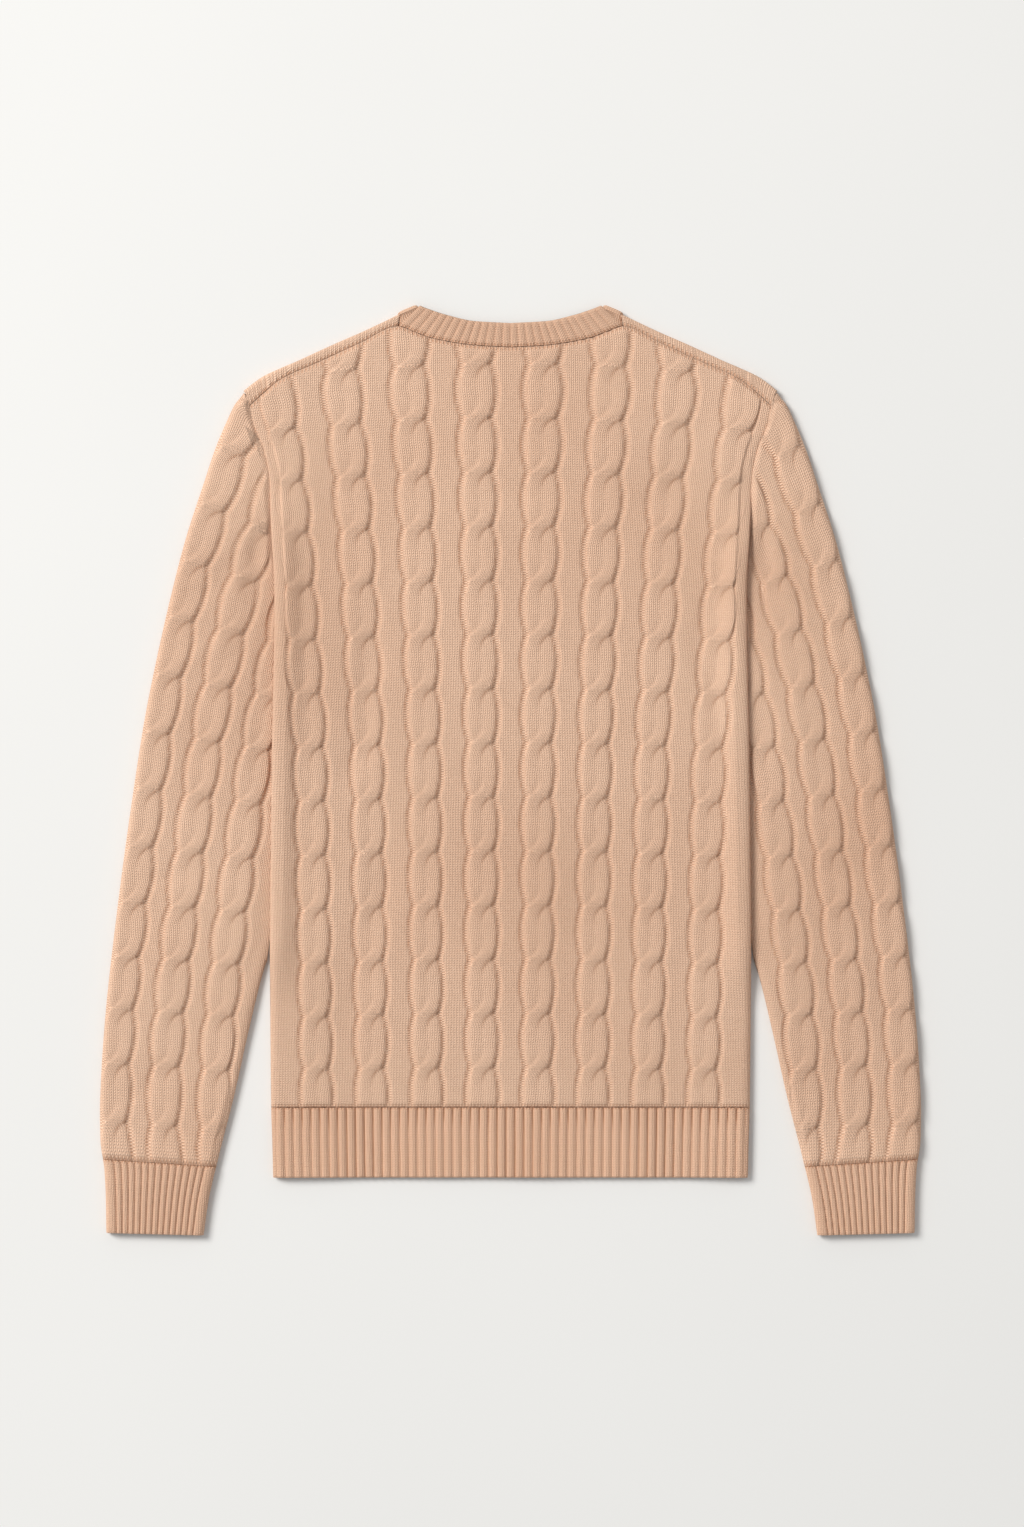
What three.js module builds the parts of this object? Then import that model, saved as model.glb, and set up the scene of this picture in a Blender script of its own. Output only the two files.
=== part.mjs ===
// A cable knit crew neck sweater laid flat on its front, back upward, as nine knitted pieces.
// Millimetres. X runs across the body, Y from the hem to the neck, Z up from the surface it lies on.
import * as THREE from "three";

// Cloth
const WALL = 2.4; // knitted fabric without its cables
const SEAM_GAP = 0.3; // between pieces that are sewn together
const SEAM_HEIGHT = 3.9; // the side seams run halfway up the edge of the body
const EDGE_ROLL = 7; // width of the rounded edge of a panel
const BODY_HEIGHT = 8; // both layers, near the edges
const BODY_SAG = 2.0; // the middle of the back lies this much lower than its edges
const SAG_WIDTH = 70; // from the edge to the full sag
const SLEEVE_HEIGHT = 8;
const SLEEVE_GAP = 0.6; // beside the body, whose edge curves between its points
const BAND_WALL = 2.8; // ribbed bands are a little thicker

// Where the body lies over the inner edge of a sleeve
const TUCK = 6; // width of sleeve under the body
const TUCKED_HEIGHT = 5.1; // sleeve's two layers pressed together there
const BODY_LIFT = 6.2; // the body's edge rides this much higher
const LIFT_NEAR = 7; // from the edge: full lift up to here
const LIFT_FAR = 26; // and none past here
const LIFT_MIDDLE = 12;
const LIFT_RAMPS = { low: [-190, -135], high: [165, 225] };

// Levels along Y
const HEM_Y = -321.5;
const HEM_TOP_Y = -266.2;
const SHOULDER_Y = 286;

// Half width of the body at its side edge, from the hem up to the shoulder point.
const BODY_SIDE = [
  { y: -321.5, half: 187.6 },
  { y: -266.2, half: 188.8 },
  { y: -162, half: 189.6 },
  { y: 15.8, half: 188 },
  { y: 134.3, half: 186 },
  { y: 205.4, half: 189.4 },
  { y: 229, half: 190.4 },
  { y: 252.8, half: 195.1 },
  { y: 271.8, half: 203 },
  { y: 286, half: 206.6 },
];

// Top edge of the back: half of the neck seam, then the shoulder seam.
const BACK_TOP = [
  { x: 0, y: 333.4 },
  { x: 28.4, y: 335 },
  { x: 61.6, y: 340.5 },
  { x: 75.8, y: 345.6 },
  { x: 88.5, y: 350 },
  { x: 118.5, y: 336.8 },
  { x: 150.1, y: 322.2 },
  { x: 180.6, y: 308.2 },
  { x: 194.6, y: 297 },
  { x: 206.6, y: 286 },
];

// Fold of the front panel over the shoulder.
const SHOULDER_FOLD = [
  { x: 88.5, y: 360.2 },
  { x: 113, y: 347.6 },
  { x: 139.8, y: 335.8 },
  { x: 165.5, y: 323.9 },
  { x: 190.8, y: 312.1 },
  { x: 206.6, y: 299 },
];

// Front neck seam, hidden under the back.
const FRONT_NECK = [
  { x: 0, y: 281 },
  { x: 28, y: 284.5 },
  { x: 52, y: 297 },
  { x: 70.4, y: 318 },
  { x: 88.5, y: 357 },
];

// Top edge of the neckband on the back, and the same on the front.
const BAND_TOP_BACK = [
  { x: 0, y: 352.6 },
  { x: 28.4, y: 354.2 },
  { x: 49, y: 358.7 },
  { x: 66, y: 364.2 },
];
const BAND_TOP_FRONT = [
  { x: 0, y: 300 },
  { x: 22, y: 303 },
  { x: 40, y: 315 },
  { x: 54, y: 335 },
  { x: 64, y: 357 },
];
const BAND_GAP = 0.6;
const BAND_FOLD = { seam: { x: 89.4, y: 360.6 }, top: { x: 73.4, y: 367.2 } };

// Outer edge of a sleeve from the shoulder to the cuff.
const SLEEVE_OUTER = [
  { y: 293.9, x: 213 },
  { y: 288.4, x: 217.4 },
  { y: 276.5, x: 223.2 },
  { y: 252.8, x: 233.1 },
  { y: 229.1, x: 241 },
  { y: 181.7, x: 256.4 },
  { y: 134.3, x: 268.6 },
  { y: 86.9, x: 279.3 },
  { y: 39.5, x: 288.7 },
  { y: -7.9, x: 296.2 },
  { y: -102.7, x: 309.3 },
  { y: -197.5, x: 319.9 },
  { y: -244.9, x: 323.1 },
  { y: -268.6, x: 323.9 },
  { y: -292.3, x: 323.5 },
  { y: -316, x: 320.3 },
  { y: -339.7, x: 319.2 },
  { y: -366, x: 318.8 },
];

// Inner edge of a sleeve below the place where the body covers it.
const SLEEVE_INNER = [
  { y: -122, x: 183.2 },
  { y: -142, x: 189.5 },
  { y: -162, x: 195.9 },
  { y: -209.4, x: 207.4 },
  { y: -256.8, x: 218 },
  { y: -304.2, x: 230 },
  { y: -339.7, x: 238.2 },
  { y: -368, x: 242.2 },
];
const TUCK_ALONG = [
  { y: -122, share: 1 },
  { y: 145, share: 1 },
  { y: 172, share: 0 },
];

// Cables: one course unit is the distance between two crossings.
const CABLE_PITCH = [
  { y: -266.2, pitch: 43.5 },
  { y: -102.7, pitch: 44.2 },
  { y: 15.8, pitch: 45 },
  { y: 94.8, pitch: 46.6 },
  { y: 173.8, pitch: 48.3 },
  { y: 256.8, pitch: 51 },
  { y: 300.2, pitch: 52.9 },
];
const BODY_CABLES = 8;
const CROSSING = { first: -233.8, every: 42.66 };
const COURSE_DROOP = [
  { course: -0.76, drop: 0 },
  { course: 1, drop: 2.8 },
  { course: 9, drop: 4.7 },
  { course: 12, drop: 9.5 },
];
const BODY_COURSES = { first: -0.76, last: 13.5 };
const COURSE_STEPS = [-0.17, 0.17, 0.5]; // below the crossing, above it, and between two crossings
const COURSE_CLEAR = 0.1; // no row lies nearer than this to the first or the last
const STRAND_RISE = 1.65;
const STRAND_SWING = 0.7;
const DITCH_DEPTH = 0.8;
// Points across one cable, from its centre line.
const CABLE_POINTS = [
  { offset: -16, part: "panel" },
  { offset: -12.4, part: "ditch" },
  { offset: -5.2, part: "left" },
  { offset: 5.2, part: "right" },
  { offset: 12.4, part: "ditch" },
  { offset: 16, part: "panel" },
];
const ROLL_STEPS = [0, 0.9, 2.8, EDGE_ROLL];
const CROWD = 0.9; // points that meet an edge keep at least this spacing
const PASSES = 3; // to settle a place whose height and width depend on each other
const ARMHOLE_Y = 200;

// Columns of a plain face as shares of the width inside the rolled edges
const SHOULDER_HALF = 206.6;
const NECK_CORNER_X = 88.5;
const sharesOf = (places) => places.map((x) => x / (SHOULDER_HALF - LIFT_FAR));
const BACK_INNER_SHARES = sharesOf([28.4, 61.6, 75.8, NECK_CORNER_X, 118.5, 150.1]);
const FRONT_SHARES = sharesOf([28, 52, 70.4, NECK_CORNER_X, 118.5, 150.1]);
const FRONT_SHELF_Y = 262; // the front's level rows end here
const UNROLL = { from: 262, to: 284 }; // the rolled edge opens towards the shoulder
const FOLD_REACH = 3;
const FOLD_FLARE = { shoulder: 4.5, neck: 3 };
const FOLD_STEPS = [
  { angle: -45, flare: 0.8 },
  { angle: 0, flare: 1 },
  { angle: 45, flare: 0.8 },
  { angle: 90, flare: 0.5 },
  { angle: 90, flare: 0, atSeam: true },
];

// Sleeve cables, measured inward from the outer edge.
const SLEEVE_CABLES = [12, 51.5, 91];
const SLEEVE_COURSE = [
  { course: -0.9, y: 293.9 },
  { course: -0.5, y: 282 },
  { course: 0, y: 258.3 },
  { course: 4, y: 77.4 },
  { course: 8, y: -102.7 },
  { course: 12, y: -275.7 },
  { course: 12.57, y: -306.9 },
];
const SLEEVE_SLOPE = [
  { course: -0.9, slope: 1.3 },
  { course: -0.5, slope: 0.75 },
  { course: 0, slope: 0.5 },
  { course: 1, slope: 0.43 },
  { course: 2, slope: 0.31 },
  { course: 4, slope: 0.2 },
  { course: 6, slope: 0.13 },
  { course: 10, slope: 0.06 },
  { course: 12.57, slope: 0.065 },
];

const SLEEVE_COURSES = { first: -0.9, last: 12.57 };
const SLEEVE_WIDEST = 150;
const WIDTH_HALVINGS = 30;
const SLEEVE_ROLL = 6;
const SLEEVE_STEPS = [0, 0.25, 1]; // points of the roll, as shares of its width
const LEAST_ROLL = 0.5;
const LEAST_STEPS = 40; // points across a narrow ring are at least this share of its width apart
const HOLLOW_COLUMNS = [
  { fromOuter: 75, rise: 0 },
  { fromOuter: 40, rise: 0 },
];
const CUFF_END_Y = -365.1;
const CUFF_END_SLOPE = 0.025;

// Neckband
const BAND_HEIGHT = 6.2; // both layers
const BAND_SPAN = { seam: 87.8, top: 68, frontSeam: 84, frontTop: 63 };
const BAND_SHARES = [
  { share: 0, sink: 0 },
  { share: 0.92, sink: 0 },
  { share: 1, sink: 0.9 },
];
const BAND_INNER_SHARE = 0.97;
const BAND_FOLD_ANGLES = [90, 50, 10, -30, -90];
const NECK_FRONT_STEPS = 12;
const STEEP_GAP = 0.8;

// Ribs
const BODY_RIBS = 54;
const CUFF_RIBS = 14;
const NECK_RIBS = 26;
const RIB_RISE = 0.9;
const NECK_RIB_RISE = 0.7;
const RIM_WIDTH = 1.8; // rounded cast-on edge
const RIM_SINK = 1.2;
const RIM_RIBS = 0.4; // share of the rib's rise that is left on it

// Cream peach cotton yarn
const YARN = { color: 0xdcb597, roughness: 0.92, metalness: 0 };

// Straight lines between the rows of a table.
function lookup(table, at, atKey, valueKey) {
  const rising = table[table.length - 1][atKey] > table[0][atKey];
  const rows = rising ? table : [...table].reverse();
  if (at <= rows[0][atKey]) return rows[0][valueKey];
  for (let i = 1; i < rows.length; i += 1) {
    const low = rows[i - 1];
    const high = rows[i];
    if (at <= high[atKey]) {
      const share = (at - low[atKey]) / (high[atKey] - low[atKey]);
      return low[valueKey] + share * (high[valueKey] - low[valueKey]);
    }
  }
  return rows[rows.length - 1][valueKey];
}

const halfWidth = (y) => lookup(BODY_SIDE, y, "y", "half");
const pitchAt = (y) => lookup(CABLE_PITCH, y, "y", "pitch");
const mix = (a, b, share) => a + (b - a) * share;
const smooth = (low, high, value) => THREE.MathUtils.smoothstep(value, low, high);

// Height of a rounded edge, 0 at the edge and 1 where the roll ends.
function roll(fromEdge, width) {
  const left = 1 - THREE.MathUtils.clamp(fromEdge / width, 0, 1);
  return Math.sqrt(1 - left * left);
}

// The rolled side edges of the body, which open towards the shoulder.
function edgeRound(fromEdge, y, depth) {
  const open = smooth(UNROLL.from, UNROLL.to, y);
  return mix(roll(fromEdge - depth, EDGE_ROLL - depth), 1, open);
}

// How far the body rides up over the sleeve. Both panels bend at the same levels.
function liftAlong(y) {
  if (!liftAlong.table) {
    const { low, high } = LIFT_RAMPS;
    liftAlong.table = plainRows(backRows()).map(([first]) => ({
      y: first.y,
      share: smooth(...low, first.y) * (1 - smooth(...high, first.y)),
    }));
  }
  return lookup(liftAlong.table, y, "y", "share");
}

function lift(fromEdge, y) {
  return BODY_LIFT * liftAlong(y) * (1 - smooth(LIFT_NEAR, LIFT_FAR, fromEdge));
}

// Height of the top of the body without its cables.
function backTop(fromEdge) {
  return BODY_HEIGHT - BODY_SAG * smooth(EDGE_ROLL, SAG_WIDTH, fromEdge);
}

// Rise of a cable's point above the plain fabric. Its strands take turns to lie on top.
function relief(part, course) {
  const swing = STRAND_SWING * Math.sin(2 * Math.PI * course);
  if (part === "left") return STRAND_RISE - swing;
  if (part === "right") return STRAND_RISE + swing;
  return part === "ditch" ? -DITCH_DEPTH : 0;
}

// A closed body built from lines of points joined by strips of triangles.
class Wall {
  constructor() {
    this.points = [];
    this.faces = [];
  }

  line(points) {
    return points.map((point) => this.points.push(point) - 1);
  }

  distance(a, b) {
    return this.points[a].distanceToSquared(this.points[b]);
  }

  // Joins two lines, each time by the shorter of the two next edges.
  strip(a, b) {
    let i = 0;
    let j = 0;
    while (i < a.length - 1 || j < b.length - 1) {
      const onA = i < a.length - 1 ? this.distance(a[i + 1], b[j]) : Infinity;
      const onB = j < b.length - 1 ? this.distance(a[i], b[j + 1]) : Infinity;
      if (onA < onB) {
        this.faces.push([a[i], a[i + 1], b[j]]);
        i += 1;
      } else {
        this.faces.push([a[i], b[j + 1], b[j]]);
        j += 1;
      }
    }
  }

  // Joins two lines of equal count square by square.
  grid(lines) {
    for (let row = 1; row < lines.length; row += 1) {
      const a = lines[row - 1];
      const b = lines[row];
      for (let i = 1; i < a.length; i += 1) {
        this.faces.push([a[i - 1], a[i], b[i]], [a[i - 1], b[i], b[i - 1]]);
      }
    }
  }

  // Outer and inner lines run from left to right, row by row towards +Y.
  static between(outerRows, innerRows, { closed = false, flipped = false } = {}) {
    const wall = new Wall();
    const close = (ids) => (closed ? [...ids, ids[0]] : ids);
    const outer = outerRows.map((row) => close(wall.line(row)));
    const inner = innerRows.map((row) => close(wall.line(row)));
    wall.grid(outer);
    wall.grid([...inner].reverse());
    wall.strip(inner[0], outer[0]);
    wall.strip(outer[outer.length - 1], inner[inner.length - 1]);
    if (!closed) {
      const ends = (rows, last) => rows.map((row) => row[last ? row.length - 1 : 0]);
      wall.strip(ends(outer, false), ends(inner, false));
      wall.strip(ends(inner, true), ends(outer, true));
    }
    if (flipped) wall.faces.forEach((face) => face.reverse());
    return wall;
  }

  // Gives a sheet of cells its second face and closes it round its free edges.
  thicken(outer, inner, cells) {
    const used = new Set();
    const key = (a, b) => `${a},${b}`;
    const twin = new Map(outer.flatMap((row, r) => row.map((id, i) => [id, inner[r][i]])));
    const sheet = cells.flatMap(([row, i]) => {
      const [a, b] = [outer[row - 1], outer[row]];
      return [
        [a[i - 1], b[i], a[i]],
        [a[i - 1], b[i - 1], b[i]],
      ];
    });
    sheet.forEach(([a, b, c]) => [key(a, b), key(b, c), key(c, a)].forEach((edge) => used.add(edge)));
    for (const [a, b, c] of sheet) {
      this.faces.push([a, b, c], [twin.get(c), twin.get(b), twin.get(a)]);
      const edges = [
        [a, b],
        [b, c],
        [c, a],
      ];
      for (const [p, q] of edges) {
        if (used.has(key(q, p))) continue;
        this.faces.push([q, p, twin.get(p)], [q, twin.get(p), twin.get(q)]);
      }
    }
  }

  mirrored() {
    const other = new Wall();
    other.points = this.points.map((p) => new THREE.Vector3(-p.x, p.y, p.z));
    other.faces = this.faces.map((face) => [...face].reverse());
    return other;
  }

  mesh(name) {
    const geometry = new THREE.BufferGeometry();
    const places = this.points.flatMap((p) => [p.x, p.y, p.z]);
    geometry.setAttribute("position", new THREE.Float32BufferAttribute(places, 3));
    geometry.setIndex(this.faces.flat());
    geometry.computeVertexNormals();
    const mesh = new THREE.Mesh(geometry, new THREE.MeshStandardMaterial(YARN));
    mesh.name = name;
    return mesh;
  }
}

// Every nth row and the last one.
const thinned = (rows, every) =>
  rows.filter((row, index) => index % every === 0 || index === rows.length - 1);

// The rows of the back that a plain face needs: one per crossing, and each one past the armhole.
const plainRows = (rows) =>
  rows.filter((row, index) => index % COURSE_STEPS.length === 0 || row[0].y > ARMHOLE_Y);

// Courses from the first to the last, three between crossings.
function coursesBetween(first, last) {
  const courses = [first];
  for (let crossing = Math.floor(first); crossing <= last + 1; crossing += 1) {
    for (const step of COURSE_STEPS) {
      const course = crossing + step;
      if (course > first + COURSE_CLEAR && course < last - COURSE_CLEAR) courses.push(course);
    }
  }
  return [...courses, last];
}

// Columns of the back: each has a cable unit and a part, or a distance from the edge.
function backColumns() {
  const right = [];
  for (let cable = 0; cable < BODY_CABLES / 2; cable += 1) {
    CABLE_POINTS.forEach((point) => right.push({ unit: cable + 0.5, ...point }));
  }
  const edge = ROLL_STEPS.map((fromEdge) => ({ fromEdge, part: "panel" })).reverse();
  const mirror = { left: "right", right: "left" };
  const left = [...right].reverse().map((column) => ({
    unit: -column.unit,
    offset: -column.offset,
    part: mirror[column.part] ?? column.part,
  }));
  const leftEdge = [...edge].reverse().map((column) => ({ ...column, side: -1 }));
  const rightEdge = edge.map((column) => ({ ...column, side: 1 }));
  return [...leftEdge, ...left, ...right, ...rightEdge];
}

// Place across the body of one column at height y, kept inside the rolled edge.
function columnX(columns, index, y) {
  const column = columns[index];
  if (column.side) return column.side * (halfWidth(y) - column.fromEdge);
  const x = column.unit * pitchAt(y) + column.offset;
  const fromLeft = index - ROLL_STEPS.length + 1;
  const fromRight = columns.length - ROLL_STEPS.length - index;
  const limit = halfWidth(y) - EDGE_ROLL;
  return THREE.MathUtils.clamp(x, -limit + CROWD * fromLeft, limit - CROWD * fromRight);
}

// Height along Y of a course at a given place across the body.
function courseY(course, x) {
  const y = CROSSING.first + CROSSING.every * course;
  const drop = lookup(COURSE_DROOP, course, "course", "drop");
  const outward = x / (BODY_CABLES / 2 - 0.5) / pitchAt(y);
  return y - drop * outward * outward;
}

function backRows() {
  const columns = backColumns();
  const courses = coursesBetween(BODY_COURSES.first, BODY_COURSES.last);
  const bottom = HEM_TOP_Y + SEAM_GAP / 2;
  return courses.map((course, row) =>
    columns.map((column, index) => {
      const beyond = courses.length - 1 - row;
      let x = columnX(columns, index, CROSSING.first + CROSSING.every * course);
      let y = bottom;
      for (let pass = 0; pass < PASSES; pass += 1) {
        const top = lookup(BACK_TOP, Math.abs(x), "x", "y") - SEAM_GAP;
        const free = row === 0 ? bottom : courseY(course, x);
        y = row === courses.length - 1 ? top : Math.min(free, top - CROWD * beyond);
        x = columnX(columns, index, y);
      }
      const real = (y - courseY(0, x)) / CROSSING.every;
      const isEnd = row === 0 || beyond === 0;
      return { x, y, rise: isEnd ? 0 : relief(column.part, real) };
    }),
  );
}

// A point of the back on its outer face, or at a depth below it.
function backPoint(x, y, depth, rise) {
  const fromEdge = halfWidth(y) - Math.abs(x);
  const round = edgeRound(fromEdge, y, depth);
  const height = mix(SEAM_HEIGHT + SEAM_GAP / 2, backTop(fromEdge) - depth, round);
  return new THREE.Vector3(x, y, height + rise + lift(fromEdge, y));
}

// The same for the front, whose outer face lies below.
function frontPoint(x, y, depth) {
  const fromEdge = halfWidth(y) - Math.abs(x);
  const round = edgeRound(fromEdge, y, depth);
  const height = mix(SEAM_HEIGHT - SEAM_GAP / 2, depth, round);
  return new THREE.Vector3(x, y, height + lift(fromEdge, y));
}

// Places across a plain panel, as distances from the middle, with its rolled edges.
function plainColumns(y, depth, interior) {
  const half = halfWidth(y);
  const edge = ROLL_STEPS.map((step) => half - depth - (step * (EDGE_ROLL - depth)) / EDGE_ROLL);
  const lifted = [LIFT_FAR, LIFT_MIDDLE].map((step) => half - step);
  const right = [...interior.map((share) => share * (half - LIFT_FAR)), ...lifted, ...edge.reverse()];
  return [...[...right].reverse().map((x) => -x), 0, ...right];
}

function back() {
  const rows = backRows();
  const outer = rows.map((row) => row.map((p) => backPoint(p.x, p.y, 0, p.rise)));
  const inner = plainRows(rows).map((row) => {
    const middle = row[Math.floor(row.length / 2)];
    const isTop = row === rows[rows.length - 1];
    const edgeY = row[0].y;
    return plainColumns(edgeY, WALL, BACK_INNER_SHARES).map((x) => {
      const top = lookup(BACK_TOP, Math.abs(x), "x", "y") - SEAM_GAP;
      const y = isTop ? top : Math.min(mix(middle.y, edgeY, (x / halfWidth(edgeY)) ** 2), top - CROWD);
      return backPoint(x, y, WALL, 0);
    });
  });
  return Wall.between(outer, inner);
}

// The front lies flat on its outer face and wraps over both shoulders to the back's top edge.
function front() {
  const wall = new Wall();
  const bottom = HEM_TOP_Y + SEAM_GAP / 2;
  const levels = plainRows(backRows()).map(([first]) => first.y);
  while (levels[levels.length - 1] > FRONT_SHELF_Y) levels.pop();
  const shelf = levels[levels.length - 1];
  const count = plainColumns(bottom, 0, FRONT_SHARES).length;
  const corner = (count - 1) / 2 - FRONT_NECK.length + 1;
  const isShoulder = (index) => index <= corner || index >= count - 1 - corner;

  // Flat rows up to the neck seam or to the start of the fold over the shoulder.
  const flatRow = (depth, level, share) =>
    plainColumns(0, depth, FRONT_SHARES).map((ignored, index) => {
      let x = plainColumns(level, depth, FRONT_SHARES)[index];
      let y = level;
      for (let pass = 0; pass < PASSES; pass += 1) {
        const fold = foldAt(Math.abs(x));
        const end = isShoulder(index)
          ? fold.y - fold.reach
          : lookup(FRONT_NECK, Math.abs(x), "x", "y") - SEAM_GAP;
        y = mix(level, end, share);
        x = plainColumns(y, depth, FRONT_SHARES)[index];
      }
      return frontPoint(x, y, depth);
    });

  // Round the fold and down to the shoulder seam.
  const foldRow = (depth, step) =>
    plainColumns(SHOULDER_Y, depth, FRONT_SHARES).map((place, index) => {
      const x = Math.abs(place);
      const fold = foldAt(x);
      const seam = lookup(BACK_TOP, x, "x", "y");
      const angle = THREE.MathUtils.degToRad(step.angle);
      const round = fold.y - fold.reach + (fold.reach - depth) * Math.cos(angle);
      const y = step.atSeam ? seam : round;
      const z = fold.half + (fold.half - depth) * Math.sin(angle);
      const shoulder = FOLD_FLARE.shoulder * (1 - smooth(0, LIFT_FAR, SHOULDER_HALF - x));
      const neck = FOLD_FLARE.neck * (1 - smooth(NECK_CORNER_X, NECK_CORNER_X + LIFT_FAR, x));
      return new THREE.Vector3(place + Math.sign(place) * (shoulder + neck) * step.flare, y, z);
    });

  const rowsAt = (depth) => [
    ...levels.map((level) => flatRow(depth, level, 0)),
    ...[0.5, 1].map((share) => flatRow(depth, shelf, share)),
    ...FOLD_STEPS.map((step) => foldRow(depth, step)),
  ];
  const outer = rowsAt(0).map((row) => wall.line(row));
  const inner = rowsAt(WALL).map((row) => wall.line(row));
  const flatRows = levels.length + 2;
  const faces = [];
  for (let row = 1; row < outer.length; row += 1) {
    for (let i = 1; i < count; i += 1) {
      const here = row < flatRows || i <= corner || i > count - 1 - corner;
      if (here) faces.push([row, i]);
    }
  }
  wall.thicken(outer, inner, faces);
  return wall;
}

// Fold over the shoulder at a place across the body.
function foldAt(x) {
  return {
    y: lookup(SHOULDER_FOLD, x, "x", "y"),
    reach: FOLD_REACH,
    half: backTop(SHOULDER_HALF - x) / 2,
  };
}

// Ribs between the rolled edges: crests and troughs take turns.
function ribColumns(half, ribs) {
  const edge = ROLL_STEPS.map((step) => ({ x: half - step, rise: 0 }));
  const width = 2 * (half - EDGE_ROLL);
  const inside = Array.from({ length: 2 * ribs - 1 }, (unused, index) => ({
    x: half - EDGE_ROLL - (width * (index + 1)) / (2 * ribs),
    rise: index % 2 === 0 ? RIB_RISE : 0,
  }));
  const right = [...edge, ...inside];
  return [...right, ...edge.map(({ x }) => ({ x: -x, rise: 0 })).reverse()].reverse();
}

function hemRibBack() {
  const levels = [
    { y: HEM_Y, sink: RIM_SINK, ribs: RIM_RIBS },
    { y: HEM_Y + RIM_WIDTH, sink: 0, ribs: 1 },
    { y: HEM_TOP_Y - SEAM_GAP / 2, sink: 0, ribs: 1 },
  ];
  const outer = levels.map(({ y, sink, ribs }) =>
    ribColumns(halfWidth(y), BODY_RIBS - 2).map(({ x, rise }) => {
      const point = backPoint(x, y, 0, rise * ribs);
      point.z = Math.max(point.z - sink, SEAM_HEIGHT + SEAM_GAP / 2);
      return point;
    }),
  );
  const inner = [levels[0], levels[2]].map(({ y }) =>
    plainColumns(y, BAND_WALL, BACK_INNER_SHARES).map((x) => backPoint(x, y, BAND_WALL, 0)),
  );
  return Wall.between(outer, inner);
}

function hemRibFront() {
  const levels = [HEM_Y, HEM_TOP_Y - SEAM_GAP / 2];
  const rows = (depth) =>
    levels.map((y) =>
      plainColumns(y, depth, BACK_INNER_SHARES).map((x) => frontPoint(x, y, depth)),
    );
  return Wall.between(rows(0), rows(BAND_WALL), { flipped: true });
}

// Inner edge of a sleeve: beside the body, then under it, then free.
function sleeveInnerX(y) {
  if (y < SLEEVE_INNER[0].y) return lookup(SLEEVE_INNER, y, "y", "x");
  const tuck = smooth(0, 1, lookup(TUCK_ALONG, y, "y", "share"));
  return halfWidth(y) + SLEEVE_GAP - (TUCK + SLEEVE_GAP) * tuck;
}

// A course of a sleeve is a line that drops from the outer edge to the inner one.
function sleeveLine(outerY, slope) {
  const outerX = lookup(SLEEVE_OUTER, outerY, "y", "x");
  let near = 0;
  let far = SLEEVE_WIDEST;
  for (let halving = 0; halving < WIDTH_HALVINGS; halving += 1) {
    const width = (near + far) / 2;
    const isInside = outerX - width > sleeveInnerX(outerY - slope * width);
    if (isInside) near = width;
    else far = width;
  }
  return { outerX, outerY, slope, width: near };
}

// Height of the flattened tube at a distance from its inner edge.
function sleeveHeight(fromInner, y) {
  const pressed = liftAlong(y) * (1 - smooth(TUCK, LIFT_FAR, fromInner));
  return mix(SLEEVE_HEIGHT, TUCKED_HEIGHT, pressed);
}

// One point of a flattened tube, above (side 1) or below (side -1) its middle.
function tubePoint(line, fromInner, side, depth, rise) {
  const x = line.outerX - line.width + fromInner;
  const y = line.outerY - line.slope * (line.width - fromInner);
  const half = sleeveHeight(fromInner, y) / 2;
  const rollWidth = Math.min(SLEEVE_ROLL, line.width / 4);
  const fromEdge = Math.min(fromInner, line.width - fromInner) - depth;
  const round = roll(fromEdge, Math.max(rollWidth - depth, LEAST_ROLL));
  return new THREE.Vector3(x, y, half + side * (half - depth) * round + rise);
}

// A ring of points: over the top from the inner edge to the outer one, and back underneath.
function tubeRing(line, depth, columns) {
  const rollWidth = Math.min(SLEEVE_ROLL, line.width / 4);
  const span = Math.min(rollWidth, (line.width - 2 * depth) / 4);
  const steps = SLEEVE_STEPS.map((share) => depth + share * span);
  const crowd = Math.min(CROWD, line.width / LEAST_STEPS);
  const first = steps[steps.length - 1];
  const middle = columns.map(({ fromOuter, rise }, index) => {
    const low = first + crowd * (index + 1);
    const high = line.width - first - crowd * (columns.length - index);
    const fromInner = THREE.MathUtils.clamp(line.width - fromOuter, low, high);
    return { fromInner, rise };
  });
  const plain = (fromInner) => ({ fromInner, rise: 0 });
  const top = [
    ...steps.map(plain),
    ...middle,
    ...[...steps].reverse().map((step) => plain(line.width - step)),
  ];
  const under = [
    ...steps.slice(1).map((step) => line.width - step),
    ...[...steps.slice(1)].reverse(),
  ];
  return [
    ...top.map(({ fromInner, rise }) => tubePoint(line, fromInner, 1, depth, rise)),
    ...under.map((fromInner) => tubePoint(line, fromInner, -1, depth, 0)),
  ];
}

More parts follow.
